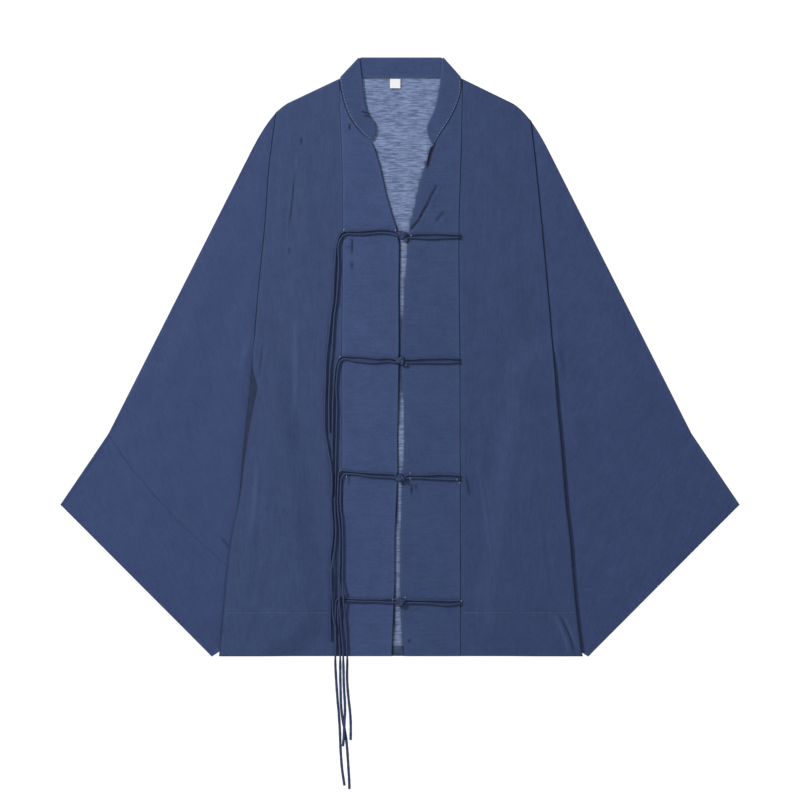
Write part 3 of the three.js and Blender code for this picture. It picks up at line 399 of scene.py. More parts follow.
def fold_shade_and_highlight(x, y, rows, kind):
    """Painted shade in the narrow troughs, or a painted highlight on the narrow ridges: the stronger, the
    deeper or higher the crease is."""
    sign, gain, most = kind
    narrow = [row for row in rows if sign * row[6] > 0 and row[5] <= FOLD_WIDTH]
    return np.clip(sign * gain * crease_relief(x, y, narrow), 0, most)


def ripple(x, y, amount, seed):
    """Slow unevenness of cloth laid by hand: a few plane waves of seeded directions and lengths."""
    rng = np.random.default_rng(seed)
    relief = np.zeros(x.shape)
    for length in RIPPLE_LENGTHS:
        turn, phase = rng.uniform(0, np.pi), rng.uniform(0, 2 * np.pi)
        wave = np.sin(2 * np.pi * (x * np.cos(turn) + y * np.sin(turn)) / length + phase)
        relief += wave * (length / RIPPLE_LENGTHS[-1]) ** 0.7
    return amount * relief / 2.2


def cloth_relief(side, kind, x, y):
    """Listed creases and slow ripples of one piece."""
    amount, seed = RIPPLES[kind]
    seed += 1 if side == "right" else 2
    return crease_relief(x, y, CREASES[f"{side}_{kind}"]) + ripple(x, y, amount, seed)


def rounded(distance, radius):
    """Quarter-round profile of an edge: 0 at the edge, 1 from one radius inwards."""
    inward = 1 - np.clip(distance / radius, 0, 1)
    return np.sqrt(1 - inward ** 2)


def rolled(distance, drop, radius=EDGE_ROUND):
    """How far a rolled edge lies below the cloth beside it."""
    return drop * (1 - rounded(distance, radius))


def edge_highlight(distance, width=1.8):
    """Painted highlight of a rolled, pressed edge, fading inwards."""
    return EDGE_HIGHLIGHT * np.exp(-distance / width)


# ---------------------------------------------------------------- meshes
def grid_faces(rows, columns, wrapped=False):
    """Quads of a grid; wrapped joins its last column to its first."""
    i = np.arange(rows - 1)[:, None]
    j = np.arange(columns if wrapped else columns - 1)[None]
    k = (j + 1) % columns
    return np.stack(np.broadcast_arrays(i * columns + j, i * columns + k, (i + 1) * columns + k,
                                        (i + 1) * columns + j), axis=-1).reshape(-1, 4)


def face_normals(points, faces):
    """Normals of quads as long as their areas: half the cross product of the diagonals."""
    a, b, c, d = (points[faces[:, k]] for k in range(4))
    return np.cross(c - a, d - b) / 2


def add_mesh(name, points, faces, painted_highlight=None, shade=None, outward=None):
    """Mesh object from millimetre points and quads, turned so that its faces point away from their mean
    place, or towards outward on an open surface. Its attributes: painted_highlight is 1 where an edge or a
    narrow ridge gets a painted highlight; shade is 1 where painted shade lies in a seam, a fold or a shadowed
    gap, and on the back's turned-up hem, where it gives the navy outside."""
    away = points[faces].mean(axis=1) - points.mean(axis=0) if outward is None else np.array(outward, float)
    if (face_normals(points, faces) * away).sum() < 0:
        faces = faces[:, ::-1]
    mesh = bpy.data.meshes.new(name)
    # A quad that names a corner twice, at the ends of a folded ring, is a triangle.
    mesh.from_pydata((points * MM).tolist(), [], [list(dict.fromkeys(face)) for face in faces.tolist()])
    mesh.validate()
    mesh.polygons.foreach_set("use_smooth", np.ones(len(mesh.polygons), bool))
    for attribute, given in (("painted_highlight", painted_highlight), ("shade", shade)):
        values = np.zeros(len(points)) if given is None else np.clip(given, 0, 1).reshape(-1)
        mesh.attributes.new(attribute, "FLOAT", "POINT").data.foreach_set("value", values.astype(np.float32))
    mesh.update()
    return link_object(name, mesh)


def link_object(name, data):
    """New object of the scene."""
    made = bpy.data.objects.new(name, data)
    bpy.context.scene.collection.objects.link(made)
    return made


def grid_mesh(name, grid, painted_highlight=None, shade=None, outward=None, wrapped=False):
    """Mesh of a grid of points; wrapped makes each of its rows a ring."""
    faces = grid_faces(*grid.shape[:2], wrapped=wrapped)
    return add_mesh(name, grid.reshape(-1, 3), faces, painted_highlight, shade, outward)


def give_wall(piece):
    """Cloth behind the modelled surface; its back takes the piece's second material."""
    wall = piece.modifiers.new("Wall", "SOLIDIFY")
    wall.thickness = CLOTH * MM
    wall.offset = -1
    wall.material_offset = 1
    wall.material_offset_rim = 0


def folded_loop(middle, normal, half, radius, from_edge=np.inf):
    """Closed rings round a middle surface: the upper face is the middle plus the normal times half the
    height, the lower face the same on the other side, and both meet in round folds at the two edges.
    The first ring column is one edge; the lower columns run back from the other. A further closed edge is
    given by the distance from it."""
    nearest = np.minimum(apart(middle, middle[:, :1]), apart(middle, middle[:, -1:]))
    rise = normal * half * rounded(np.minimum(nearest, from_edge), radius)[..., None]
    return both_faces(middle + rise, middle - rise)


def both_faces(upper, lower=None):
    """Values of a folded loop's upper face, then of its lower face, which repeats the upper by default."""
    return np.concatenate([upper, (upper if lower is None else lower)[:, -2:0:-1]], axis=1)


def closed_tube(name, rings, columns, painted_highlight=None, shade=None):
    """Mesh of folded rings whose two ends are closed by strips between their upper and lower faces."""
    rows, size = rings.shape[:2]
    upper = np.arange(columns)
    lower = (size - upper) % size
    strip = np.stack([upper[:-1], upper[1:], lower[1:], lower[:-1]], axis=1)
    faces = np.concatenate([grid_faces(rows, size, True), strip[:, ::-1], strip + (rows - 1) * size])
    return add_mesh(name, rings.reshape(-1, 3), faces, painted_highlight, shade)


# ---------------------------------------------------------------- materials
THREAD_RELIEF = 0.00006     # metres


def add_node(tree, kind, inputs=None, **settings):
    """Node with its settings; an input is a value, or a socket to link."""
    node = tree.nodes.new(kind)
    for key, value in settings.items():
        setattr(node, key, value)
    for key, value in (inputs or {}).items():
        if isinstance(value, bpy.types.NodeSocket):
            tree.links.new(value, node.inputs[key])
        else:
            node.inputs[key].default_value = value
    return node


def calculate(tree, operation, first, second=0.0, third=0.0):
    return add_node(tree, "ShaderNodeMath", {0: first, 1: second, 2: third}, operation=operation).outputs[0]


def noise(tree, vector, scale, detail, roughness):
    inputs = {"Vector": vector, "Scale": scale, "Detail": detail, "Roughness": roughness}
    return add_node(tree, "ShaderNodeTexNoise", inputs).outputs["Fac"]


def mapped(tree, vector, **settings):
    return add_node(tree, "ShaderNodeMapping", {"Vector": vector, **settings}).outputs[0]


def read_attribute(tree, name, share):
    """The piece's own attribute times a share."""
    node = add_node(tree, "ShaderNodeAttribute", attribute_name=name)
    return calculate(tree, "MULTIPLY", node.outputs["Fac"], share)


def blend(tree, factor, first, second):
    """Colour between two others."""
    return add_node(tree, "ShaderNodeMix", {"Factor": factor, "A": first, "B": second},
                    data_type="RGBA").outputs["Result"]


def make_group(name, inputs, build):
    """Node group with inputs of the given kinds; build fills it and gives its outputs, all numbers."""
    tree = bpy.data.node_groups.new(name, "ShaderNodeTree")
    for socket, kind in inputs.items():
        tree.interface.new_socket(socket, in_out="INPUT", socket_type=f"NodeSocket{kind}")
    results = build(tree, add_node(tree, "NodeGroupInput").outputs)
    for socket in results:
        tree.interface.new_socket(socket, in_out="OUTPUT", socket_type="NodeSocketFloat")
    add_node(tree, "NodeGroupOutput", results)
    return tree


def twill_threads(tree, given):
    """Fine twill: ribs along one diagonal of the threads, crossed by the threads' own small waves."""
    parts = add_node(tree, "ShaderNodeSeparateXYZ", {0: given["Vector"]})
    turns = calculate(tree, "DIVIDE", 2 * math.pi, given["Pitch"])
    along, across = (calculate(tree, "MULTIPLY", parts.outputs[k], turns) for k in (0, 1))
    rib = calculate(tree, "SINE", calculate(tree, "ADD", along, across))
    warp, weft = (calculate(tree, "SINE", calculate(tree, "MULTIPLY", way, 2.0)) for way in (along, across))
    threads = calculate(tree, "MULTIPLY", warp, weft)
    height = calculate(tree, "MULTIPLY_ADD", threads, 0.35, calculate(tree, "MULTIPLY", rib, 0.5))
    flecks = noise(tree, mapped(tree, given["Vector"], Scale=(1, 9, 1)), 420.0, 2.0, 0.6)
    return {"Height": height, "Fleck": flecks}


def slub_streaks(tree, given):
    """Uneven threads: noise drawn out across the cloth, sharpened to separate streaks."""
    squeeze = calculate(tree, "DIVIDE", 1.0, given["Length"])
    scale = add_node(tree, "ShaderNodeCombineXYZ", {0: squeeze, 1: 1.0, 2: 1.0})
    drawn = add_node(tree, "ShaderNodeVectorMath", {0: given["Vector"], 1: scale.outputs[0]},
                     operation="MULTIPLY")
    value = noise(tree, drawn.outputs[0], 560.0, 4.0, 0.72)
    streak = add_node(tree, "ShaderNodeMapRange", {"Value": value, "From Min": 0.39, "From Max": 0.63},
                      clamp=True)
    return {"Streak": streak.outputs[0]}


def cloth_tone(tree, given):
    """Uneven dye and handling: slow clouds with a fine heather on top, centred on a half."""
    clouds, mottle, heather = (noise(tree, given["Vector"], *settings) for settings in
                               ((9.0, 4.0, 0.55), (48.0, 4.0, 0.65), (300.0, 3.0, 0.75)))
    tone = calculate(tree, "MULTIPLY_ADD", mottle, 0.4, calculate(tree, "MULTIPLY", clouds, 0.25))
    tone = calculate(tree, "MULTIPLY_ADD", heather, 0.55, tone)
    crumple = noise(tree, mapped(tree, given["Vector"], Scale=(0.45, 1, 1)), 70.0, 5.0, 0.6)
    return {"Tone": calculate(tree, "SUBTRACT", tone, 0.1), "Crumple": crumple}


TWILL = make_group("TwillThreads", {"Vector": "Vector", "Pitch": "Float"}, twill_threads)
SLUB = make_group("SlubStreaks", {"Vector": "Vector", "Length": "Float"}, slub_streaks)
TONE = make_group("ClothTone", {"Vector": "Vector"}, cloth_tone)


def cloth_material(name, dark, light, turn=0.0, pitch=0.00042, slub_length=14.0, slub_share=0.25,
                   roughness=0.62, shade_colour=None, gloss=0.2, crumple=0.0011, shade_share=1.0):
    """Woven cloth: the tone runs from dark to light with dye clouds, slubs and thread flecks; the relief is
    the twill plus the slubs. Edges and narrow ridges get a painted highlight; seams, folds and shadowed gaps
    take painted shade in the shade colour, which also gives the back's turned-up hem its navy."""
    material = bpy.data.materials.new(name)
    material.use_nodes = True
    tree = material.node_tree
    tree.nodes.clear()
    place = add_node(tree, "ShaderNodeTexCoord").outputs["Object"]
    place = mapped(tree, place, Rotation=(0, 0, math.radians(turn)))
    twill, slub, tone = (
        add_node(tree, "ShaderNodeGroup", {"Vector": place, **inputs}, node_tree=group).outputs
        for group, inputs in ((TWILL, {"Pitch": pitch}), (SLUB, {"Length": slub_length}), (TONE, {})))
    factor = calculate(tree, "MULTIPLY_ADD", slub["Streak"], slub_share,
                       calculate(tree, "MULTIPLY", tone["Tone"], 0.75 - slub_share))
    factor = calculate(tree, "MULTIPLY_ADD", twill["Fleck"], 0.25, factor)
    colour = blend(tree, factor, (*dark, 1), (*light, 1))
    # Painted highlight on edges and narrow ridges, from the painted_highlight attribute.
    colour = blend(tree, read_attribute(tree, "painted_highlight", 0.8), colour, (*light, 1))
    # Painted shade from the shade attribute, in the shade colour; on the back's inside it also gives the
    # turned-up hem its navy.
    shade_colour = shade_colour or [0.28 * part for part in dark]
    colour = blend(tree, read_attribute(tree, "shade", shade_share), colour, (*shade_colour, 1))
    height = calculate(tree, "MULTIPLY_ADD", slub["Streak"], 0.6, twill["Height"])
    bump = add_node(tree, "ShaderNodeBump", {"Height": height, "Strength": 0.7, "Distance": THREAD_RELIEF})
    bump = add_node(tree, "ShaderNodeBump", {"Height": tone["Crumple"], "Strength": 0.8,
                                             "Distance": crumple, "Normal": bump.outputs[0]})
    shader = add_node(tree, "ShaderNodeBsdfPrincipled", {
        "Base Color": colour, "Normal": bump.outputs[0], "Specular IOR Level": gloss,
        "Roughness": calculate(tree, "MULTIPLY_ADD", tone["Tone"], 0.14, roughness - 0.07),
        "Sheen Weight": 0.05, "Sheen Roughness": 0.45, "Sheen Tint": (0.62, 0.72, 1.0, 1)})
    add_node(tree, "ShaderNodeOutputMaterial", {"Surface": shader.outputs[0]})
    return material


def navy_cloths(kind, tones, turn, slub_length, painted_side_light):
    """One cloth for each side, its tones scaled a little for each piece: painted light, lighter on the
    wearer's right, towards the key lamp.
    """
    cloths = {}
    for side, sign in SIDES.items():
        lit_tones = [[a * b for a, b in zip(tone, painted_side_light[side])] for tone in tones]
        cloths[side] = cloth_material(f"{kind}_{side}", *lit_tones, turn=-sign * turn, slub_length=slub_length,
                                      slub_share=0.08)
    return cloths


FRONT_TONES = (0.007, 0.015, 0.053), (0.054, 0.084, 0.194)
# The scales for each side are painted light: the wearer's right, towards the key lamp, is made lighter.
FRONT_CLOTH = navy_cloths("front_cloth", FRONT_TONES, 88, 20.0,
                          {"right": (1.00, 1.05, 1.08), "left": (0.93, 0.98, 1.04)})
BAND_CLOTH = navy_cloths("band_cloth", ((0.007, 0.014, 0.056), (0.065, 0.099, 0.224)), 0, 14.0,
                         {"right": (1.10, 1.13, 1.14), "left": (0.95, 1.00, 1.01)})
SLEEVE_CLOTH = navy_cloths("sleeve_cloth", ((0.006, 0.015, 0.056), (0.056, 0.086, 0.208)), 66, 16.0,
                           {"right": (1.00, 1.02, 1.05), "left": (0.97, 1.00, 1.02)})
BACK_CLOTH = cloth_material("back_cloth", *FRONT_TONES, turn=88, slub_length=20.0, slub_share=0.08,
                            shade_share=0.0)
INSIDE_CLOTH = cloth_material("inside_cloth", (0.036, 0.055, 0.130), (0.266, 0.335, 0.540), slub_length=7.0,
                              slub_share=0.58, roughness=0.85, shade_colour=(0.012, 0.020, 0.055), crumple=0.0005)
CORD_CLOTH = cloth_material("cord_cloth", (0.024, 0.038, 0.090), (0.050, 0.074, 0.156), turn=45, pitch=0.0004,
                            slub_length=6.0, roughness=0.75, gloss=0.08, shade_colour=(0.004, 0.007, 0.018))
SEWING_THREAD = cloth_material("sewing_thread", (0.200, 0.240, 0.370), (0.370, 0.420, 0.570), pitch=0.0002,
                               roughness=0.6)
TACK_THREAD = cloth_material("tack_thread", (0.260, 0.300, 0.420), (0.460, 0.500, 0.620), pitch=0.0002,
                             roughness=0.6)
LABEL_CLOTH = cloth_material("label_cloth", (0.66, 0.67, 0.69), (0.86, 0.87, 0.89), pitch=0.0003,
                             slub_share=0.1, roughness=0.6, crumple=0.0003)


def finish_piece(piece, material_slot, *materials, nodes=()):
    """Materials, body and the solids that the piece replaces. material_slot is not used."""
    for material in materials:
        piece.data.materials.append(material)
    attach(piece, "root")
    if nodes:
        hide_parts(*nodes)


def cut_of(grid):
    """Flat cut of a laid grid: its widest row, its longest column and the area of its quads, in metres."""
    width = apart(grid[:, 1:], grid[:, :-1]).sum(axis=1).max()
    length = apart(grid[1:], grid[:-1]).sum(axis=0).max()
    flat = grid.reshape(-1, grid.shape[2])
    if flat.shape[1] == 2:
        flat = np.column_stack([flat, np.zeros(len(flat))])
    area = np.linalg.norm(face_normals(flat, grid_faces(*grid.shape[:2])), axis=1).sum()
    return width * MM, length * MM, area * MM * MM


def declare_sheet(grid):
    """Flat cut of the piece's grid, worked out and not used further."""
    width, length, area = cut_of(grid)


# ---------------------------------------------------------------- body panels
FRONT_COLUMNS = 110
BODY_ROWS = 230
HEM_PROUD, HEM_DIP = 0.22, 0.25
HEM_DROP, SHOULDER_DROP = 0.5, 1.0
SIDE_DROP = 1.1             # below the armpit the side edge is drawn in deeper than a seam
BAND_SEAM_DROP = {"right": 0.2, "left": 0.45}
SIDE_SHADE = {"right": 0.75, "left": 0.95}   # painted shade of the line along the body's side edge
SIDE_SHADE_WIDTH = {"right": 0.8, "left": 1.5}
SEAM_SHADE = {"right": 0.12, "left": 0.5}    # painted shade of the line in a band seam
ARMPIT_OPENING = [   # y, width of the slit between the right front's edge and the sleeve
    (0, 0), (-10, 0.9), (-20, 3), (-30, 6.6), (-38, 9.6), (-46, 9.8), (-57, 8.5), (-76, 6.5), (-96, 5),
    (-128, 3.5), (-160, 1.9), (-200, 0.6), (-230, 0),
]
BACK_HEM_Y = -375.0         # upper edge of the back's turned-up hem, seen in the centre gap
BACK_ROLL = 0.7             # how far the back's edges turn up
NECK_TUCK = 2.4             # the back runs this far under the collar
SIDE_TUCK = 0.7             # and this far under the sleeves
HIDDEN_OUT, HIDDEN_SHADE = 150, 0.93   # painted shade: the back's inside is dark this far out and beyond, as in the armpit opening


def side_line(side, share):
    """Side line at shares of its height, from the hem up to the shoulder: out and y."""
    y = HEM_Y + (SIDE_LINE[side][0][0] - HEM_Y) * share
    return np.stack([read_smooth(SIDE_LINE[side], y), y], axis=1)


def front_plan(side, u, v, inset=0.0):
    """Plan of a front: the patch between side line, band seam, hem and shoulder, in out and y. The inset
    draws the side line inwards."""
    outer = side_line(side, v)
    outer[:, 0] -= inset
    seam_y = HEM_Y + (BAND_SEAM[side][0][0] - HEM_Y) * v
    inner = np.stack([read_smooth(BAND_SEAM[side], seam_y) + SEAM_GAP / 2, seam_y], axis=1)
    bent = bend(SLEEVE_TOP, SHOULDER_CORNER, SLOPE_END, 1 - ARMHOLE_ON_BEND[side], 1)
    top = chain([*bent, inner[-1]], u)
    top[0] = outer[-1]
    bottom = outer[0] * (1 - u[:, None]) + inner[0] * u[:, None]
    return patch(outer, inner, bottom, top, u, v)


def front_height(side, x, y):
    """Top of a front: the lift over the tucked sleeve, creases, ripples and the turned-up hem, which
    stands a little proud up to its stitch line and dips at it."""
    hem = HEM_PROUD * (1 - soft_step(y, HEM_STITCH_Y - 2, HEM_STITCH_Y + 1.5))
    dip = -HEM_DIP * bell(y - HEM_STITCH_Y, 1.1)
    level = FRONT_TOP - BELOW_SOLID["front"] + body_lift(x, y)
    return level + cloth_relief(side, "front", x, y) + hem + dip


def build_front(side):
    """A front panel with rolled edges, the wearer's right one drawn in beside the armpit."""
    u, v = crowded(FRONT_COLUMNS), crowded(BODY_ROWS, 0.6)
    inset = read_smooth(ARMPIT_OPENING, side_line(side, v)[:, 1]) if side == "right" else 0.0
    plan = front_plan(side, u, v, inset) * (SIDES[side], 1)
    x, y = plan[..., 0], plan[..., 1]
    creases = CREASES[f"{side}_front"]
    width = apart(plan[:, -1], plan[:, 0])[:, None]
    length = apart(plan[1:], plan[:-1]).sum(axis=0)[None]
    from_side, from_seam = u[None] * width, (1 - u[None]) * width
    from_hem, from_top = v[:, None] * length, (1 - v[:, None]) * length
    below_armpit = 1 - soft_step(v, ARMPIT - 0.02, ARMPIT + 0.02)[:, None]
    z = (front_height(side, x, y) - rolled(from_side, SEAM_DROP + (SIDE_DROP - SEAM_DROP) * below_armpit)
         - rolled(from_seam, BAND_SEAM_DROP[side], radius=0.9)
         - rolled(from_hem, HEM_DROP, radius=0.8) - rolled(from_top, SHOULDER_DROP))
    nearest = np.minimum(np.minimum(from_side, from_seam), np.minimum(from_hem, from_top))
    # Painted highlight on the edges and narrow ridges; painted shade in the seams, narrow troughs, the hem's
    # stitch line and along the side edge.
    painted_highlight = edge_highlight(nearest, BODY_HIGHLIGHT_WIDTH) + fold_shade_and_highlight(x, y, creases, RIDGE)
    uneven = 0.7 + 0.5 * np.sin(y / 9.0) * np.sin(y / 23.0)
    shade = (SEAM_SHADE[side] * uneven * bell(from_seam, 0.6) + 0.5 * bell(from_top, 0.8)
             + fold_shade_and_highlight(x, y, creases, TROUGH) + 0.2 * bell(y - HEM_STITCH_Y, 0.9)
             + SIDE_SHADE[side] * bell(from_side, SIDE_SHADE_WIDTH[side] + 0.7 * below_armpit))
    piece = grid_mesh(f"{side}_front_cloth", np.dstack([x, y, z]), painted_highlight, shade, outward=(0, 0, 1))
    give_wall(piece)
    finish_piece(piece, "front_cloth", FRONT_CLOTH[side], INSIDE_CLOTH, nodes=[f"{side}_front"])
    declare_sheet(plan)


def build_back():
    """The back under both fronts: their two grids with a middle between them, its outside on the surface."""
    u, v = crowded(36, 0.7), crowded(180, 0.5)
    right, left = (front_plan(side, u, v) * (sign, 1) for side, sign in SIDES.items())
    left = left[:, ::-1]
    share = np.linspace(0, 1, 42)[None, 1:-1, None]
    plan = np.concatenate([right, right[:, -1:] * (1 - share) + left[:, :1] * share, left], axis=1)
    x, y = plan[..., 0], plan[..., 1]
    from_side = np.minimum(apart(plan, plan[:, :1]), apart(plan, plan[:, -1:]))
    from_top = apart(plan, plan[-1:])
    in_neck = 1 - soft_step(np.abs(x), NECK_POINT[0] - 3, NECK_POINT[0])
    z = (body_lift(x, y) + np.maximum(0, crease_relief(x, y, CREASES["back"]))
         + rolled(from_side, BACK_ROLL) + rolled(from_top, BACK_ROLL) * (1 - in_neck))
    # Painted shade beside each band's edge, at the neck seam and towards the armpits; the same attribute
    # darkens the turned-up hem, where its navy outside shows.
    past_right = x - read_table(BAND_EDGE["right"], y)
    past_left = read_table(BAND_EDGE["left"], y) - x
    in_gap = 1 - 0.55 * soft_step(y, 150, 190)
    shade = (0.95 * in_gap * (1 - soft_step(past_right, 1.2, 3.0))
             + 0.7 * (1 - soft_step(past_left, 0.2, 1.6)) + 0.9 * bell(from_top, 1.2) * in_neck
             + 0.75 * (1 - soft_step(y, BACK_HEM_Y - 0.6, BACK_HEM_Y + 0.6)))
    shade = np.where(np.abs(x) > HIDDEN_OUT, HIDDEN_SHADE, shade)
    side_tuck = SIDE_TUCK * bell(from_side, 4) * soft_step(y, -45, -25)
    points = np.dstack([x + np.sign(x) * side_tuck, y + NECK_TUCK * in_neck * bell(from_top, 4), z])
    painted_highlight = edge_highlight(np.minimum(from_side, from_top), BODY_HIGHLIGHT_WIDTH)
    piece = grid_mesh("back_cloth", points, painted_highlight, shade, outward=(0, 0, -1))
    give_wall(piece)
    finish_piece(piece, "inside_cloth", BACK_CLOTH, INSIDE_CLOTH, nodes=["back"])
    declare_sheet(plan)


# ---------------------------------------------------------------- bands
BAND_COLUMNS = 40
BAND_ROWS = 320
EDGE_SHADE = {"right": 0.6, "left": 0.35}   # painted shade: the right band's inner edge lies in shade
DOUBLED_HALF = DOUBLED / 2 - 0.1           # half the height of a doubled piece as it is seen
UP = np.array([0, 0, 1.0])


def build_band(side):
    """A doubled strip between the band seam and the collar, the V of the neck and the centre gap."""
    y = HEM_Y + (BAND_EDGE[side][0][0] - HEM_Y) * crowded(BAND_ROWS, 0.5)
    seam = SIDES[side] * (read_smooth(BAND_SEAM[side], y) - SEAM_GAP / 2)
    edge = read_table(BAND_EDGE[side], y)
    u = crowded(BAND_COLUMNS, 0.9)[None]
    x = seam[:, None] * (1 - u) + edge[:, None] * u
    y = np.broadcast_to(y[:, None], x.shape)
    relief = cloth_relief(side, "band", x, y) * soft_step(np.abs(edge - seam), 2, 30)[:, None]
    middle = np.dstack([x, y, BAND_MIDDLE - BELOW_SOLID["band"] + relief])
    rings = folded_loop(middle, UP, DOUBLED_HALF, 0.9)
    from_seam, from_edge = np.abs(x - x[:, :1]), np.abs(x - x[:, -1:])
    # Painted shade in the seam, along the inner edge and in narrow troughs; the edges get a painted
    # highlight.
    shade = (0.8 * SEAM_SHADE[side] * bell(from_seam, 0.5) + EDGE_SHADE[side] * bell(from_edge, 0.9)
             + fold_shade_and_highlight(x, y, CREASES[f"{side}_band"], TROUGH))
    piece = closed_tube(f"{side}_band_cloth", rings, x.shape[1],
                        both_faces(edge_highlight(np.minimum(from_seam, from_edge))), both_faces(shade))
    finish_piece(piece, "band_cloth", BAND_CLOTH[side], nodes=[f"{side}_band"])
    declare_sheet(middle[..., :2])


# ---------------------------------------------------------------- sleeves and cuffs
CUFF_SEAM = bend(CUFF_KINK, CUFF_SEAM_SAG, UNDERARM_END, 0, 1, 60)
CUFF_SEAM_SHADE = 0.12            # painted shade of the faint cuff seam
CUFF_END_DROP = 0.4
SEAM_FLAT = 12              # the relief fades out this far from the cuff's seam
# Painted shade of the line beside the armhole, and its half width.
ARMHOLE_SHADE = {"right": 0.5, "left": 0.95}
ARMHOLE_SHADE_WIDTH = {"right": 1.3, "left": 2.3}
UNDERARM_TUCK = 9.0         # at the armpit the sleeve reaches this far under the lifted body
ARMHOLE_DIP = 0.35          # how deep the sleeve dips beside the body's side edge
ARMHOLE_RISE = 45.0         # the sleeve rises to the lifted body edge over this distance


def flat_tube(side, kind, plan, height, relief, drop, shade, rise=0.0, from_edge=np.inf):
    """A tube laid flat: rings round its middle surface, round folds above and below, and the relief less
    the seams' drop on the upper face alone. Its wall is the cloth. Its girth is twice the length of the
    cuff's seam."""
    middle = np.dstack([plan, height / 2 + np.zeros(plan.shape[:2]) + rise])
    rings = folded_loop(middle, UP, height / 2, height / 2, from_edge)
    inner = np.minimum(np.minimum(apart(plan, plan[:, :1]), apart(plan, plan[:, -1:])), from_edge)
    rings[:, :plan.shape[1], 2] += (relief - drop) * soft_step(inner, 0, 6)
    shade = shade + fold_shade_and_highlight(plan[..., 0], plan[..., 1], CREASES[f"{side}_{kind}"], TROUGH)
    piece = grid_mesh(f"{side}_{kind}_cloth", rings, both_faces(edge_highlight(inner)), both_faces(shade),
                      wrapped=True)
    give_wall(piece)
    finish_piece(piece, "sleeve_cloth", SLEEVE_CLOTH[side], INSIDE_CLOTH, nodes=[f"{side}_{kind}"])
    _, length, area = cut_of(plan)


def build_sleeve(side):
    """Rows from the start line, which is the armhole and then the underarm fold under the body, to the
    cuff's seam. All rows end at the underarm's end, and the underarm fold is closed."""
    w, s = crowded(120, 0.88), crowded(130, 0.75)
    armhole = side_line(side, np.linspace(1, ARMPIT, 80)) + (0.1, 0)
    armhole_length = apart(armhole[1:], armhole[:-1]).sum()
    armpit_share = armhole_length / (armhole_length + apart(armhole[-1], UNDERARM_END))
    start, seam = chain([*armhole, UNDERARM_END], w), chain(CUFF_SEAM, w)
    start[:, 0] -= UNDERARM_TUCK * (soft_step(w, armpit_share - 0.07, armpit_share - 0.03)
                                    - soft_step(w, armpit_share, armpit_share + 0.25))
    bent = bend(SLOPE_END, SHOULDER_CORNER, SLEEVE_TOP, ARMHOLE_ON_BEND[side], 1)
    upper = chain([armhole[0], *bent[1:], CUFF_KINK], s)
    lower = np.tile(np.array(UNDERARM_END), (len(s), 1))
    plan = patch(upper, lower, start, seam, w, s) * (SIDES[side], 1)
    x, y = plan[..., 0], plan[..., 1]
    outside = np.abs(x) - read_smooth(SIDE_LINE[side], y)
    from_start, from_end = apart(plan, plan[:1]), apart(plan, plan[-1:])
    relief = (cloth_relief(side, "sleeve", x, y) * soft_step(from_end, 0, SEAM_FLAT)
              - BELOW_SOLID["sleeve"] - ARMHOLE_DIP * bell(outside, 5.0))
    above = 1 - soft_step(w, armpit_share - 0.09, armpit_share - 0.04)[None]
    shade_width = ARMHOLE_SHADE_WIDTH[side] * (1 + 0.2 * np.sin(y / 5.0) * np.sin(y / 13.0))
    shade = ARMHOLE_SHADE[side] * above * bell(from_start, shade_width) + CUFF_SEAM_SHADE * bell(from_end, LINE_WIDTH)
    rise = body_lift(x, y) * (1 - soft_step(from_start, 4, ARMHOLE_RISE)) * 0.9 * above
    open_end = 1 - soft_step(w, armpit_share, armpit_share + 0.03)[None]
    flat_tube(side, "sleeve", plan, 2 * CLOTH_WALL + LAYER_GAP, relief * soft_step(outside, -6, 0),
              rolled(from_start, SEAM_DROP), shade, rise, from_start + 9 * open_end)


def build_cuff(side):
    """Rows from the cuff's seam to its open end. Its thicker wall is held down to the sleeve's height."""
    w, s = crowded(90), crowded(40, 0.6)
    outer, inner = chain([CUFF_KINK, CUFF_OUTER], s), chain([UNDERARM_END, CUFF_INNER], s)
    seam, end = chain(CUFF_SEAM, w), chain([CUFF_OUTER, CUFF_INNER], w)
    plan = patch(outer, inner, seam, end, w, s) * (SIDES[side], 1)
    from_seam = apart(plan, plan[:1])
    relief = cloth_relief(side, "cuff", plan[..., 0], plan[..., 1]) * soft_step(from_seam, 0, SEAM_FLAT)
    flat_tube(side, "cuff", plan, 2 * CUFF_WALL + LAYER_GAP, relief - BELOW_SOLID["cuff"],
              rolled(apart(plan, plan[-1:]), CUFF_END_DROP), CUFF_SEAM_SHADE * bell(from_seam, LINE_WIDTH))


# ---------------------------------------------------------------- collar
COLLAR_CREASES = [
    (-50, 318.5, -38, 314.5, 0.6, 1.1, -0.7), (-47, 313.5, -36, 310.5, 0.4, 1, -0.7),
    (60, 322, 48, 318, 0, 2.6, 0.25), (-20, 386, -16, 366, 1, 4, 0.2),
]
COLLAR_FRONT_MIDDLE = DOUBLED + LAYER_GAP + DOUBLED / 2
FOLD_RADIUS = (DOUBLED + LAYER_GAP) / 2
COLLAR_STEP = 1.6           # length of the sections at the front ends
FOLD_SECTIONS = 15          # sections of a half-turn
BACK_START, BACK_SECTIONS = 70, 26   # the back's first section out from the centre, and their number


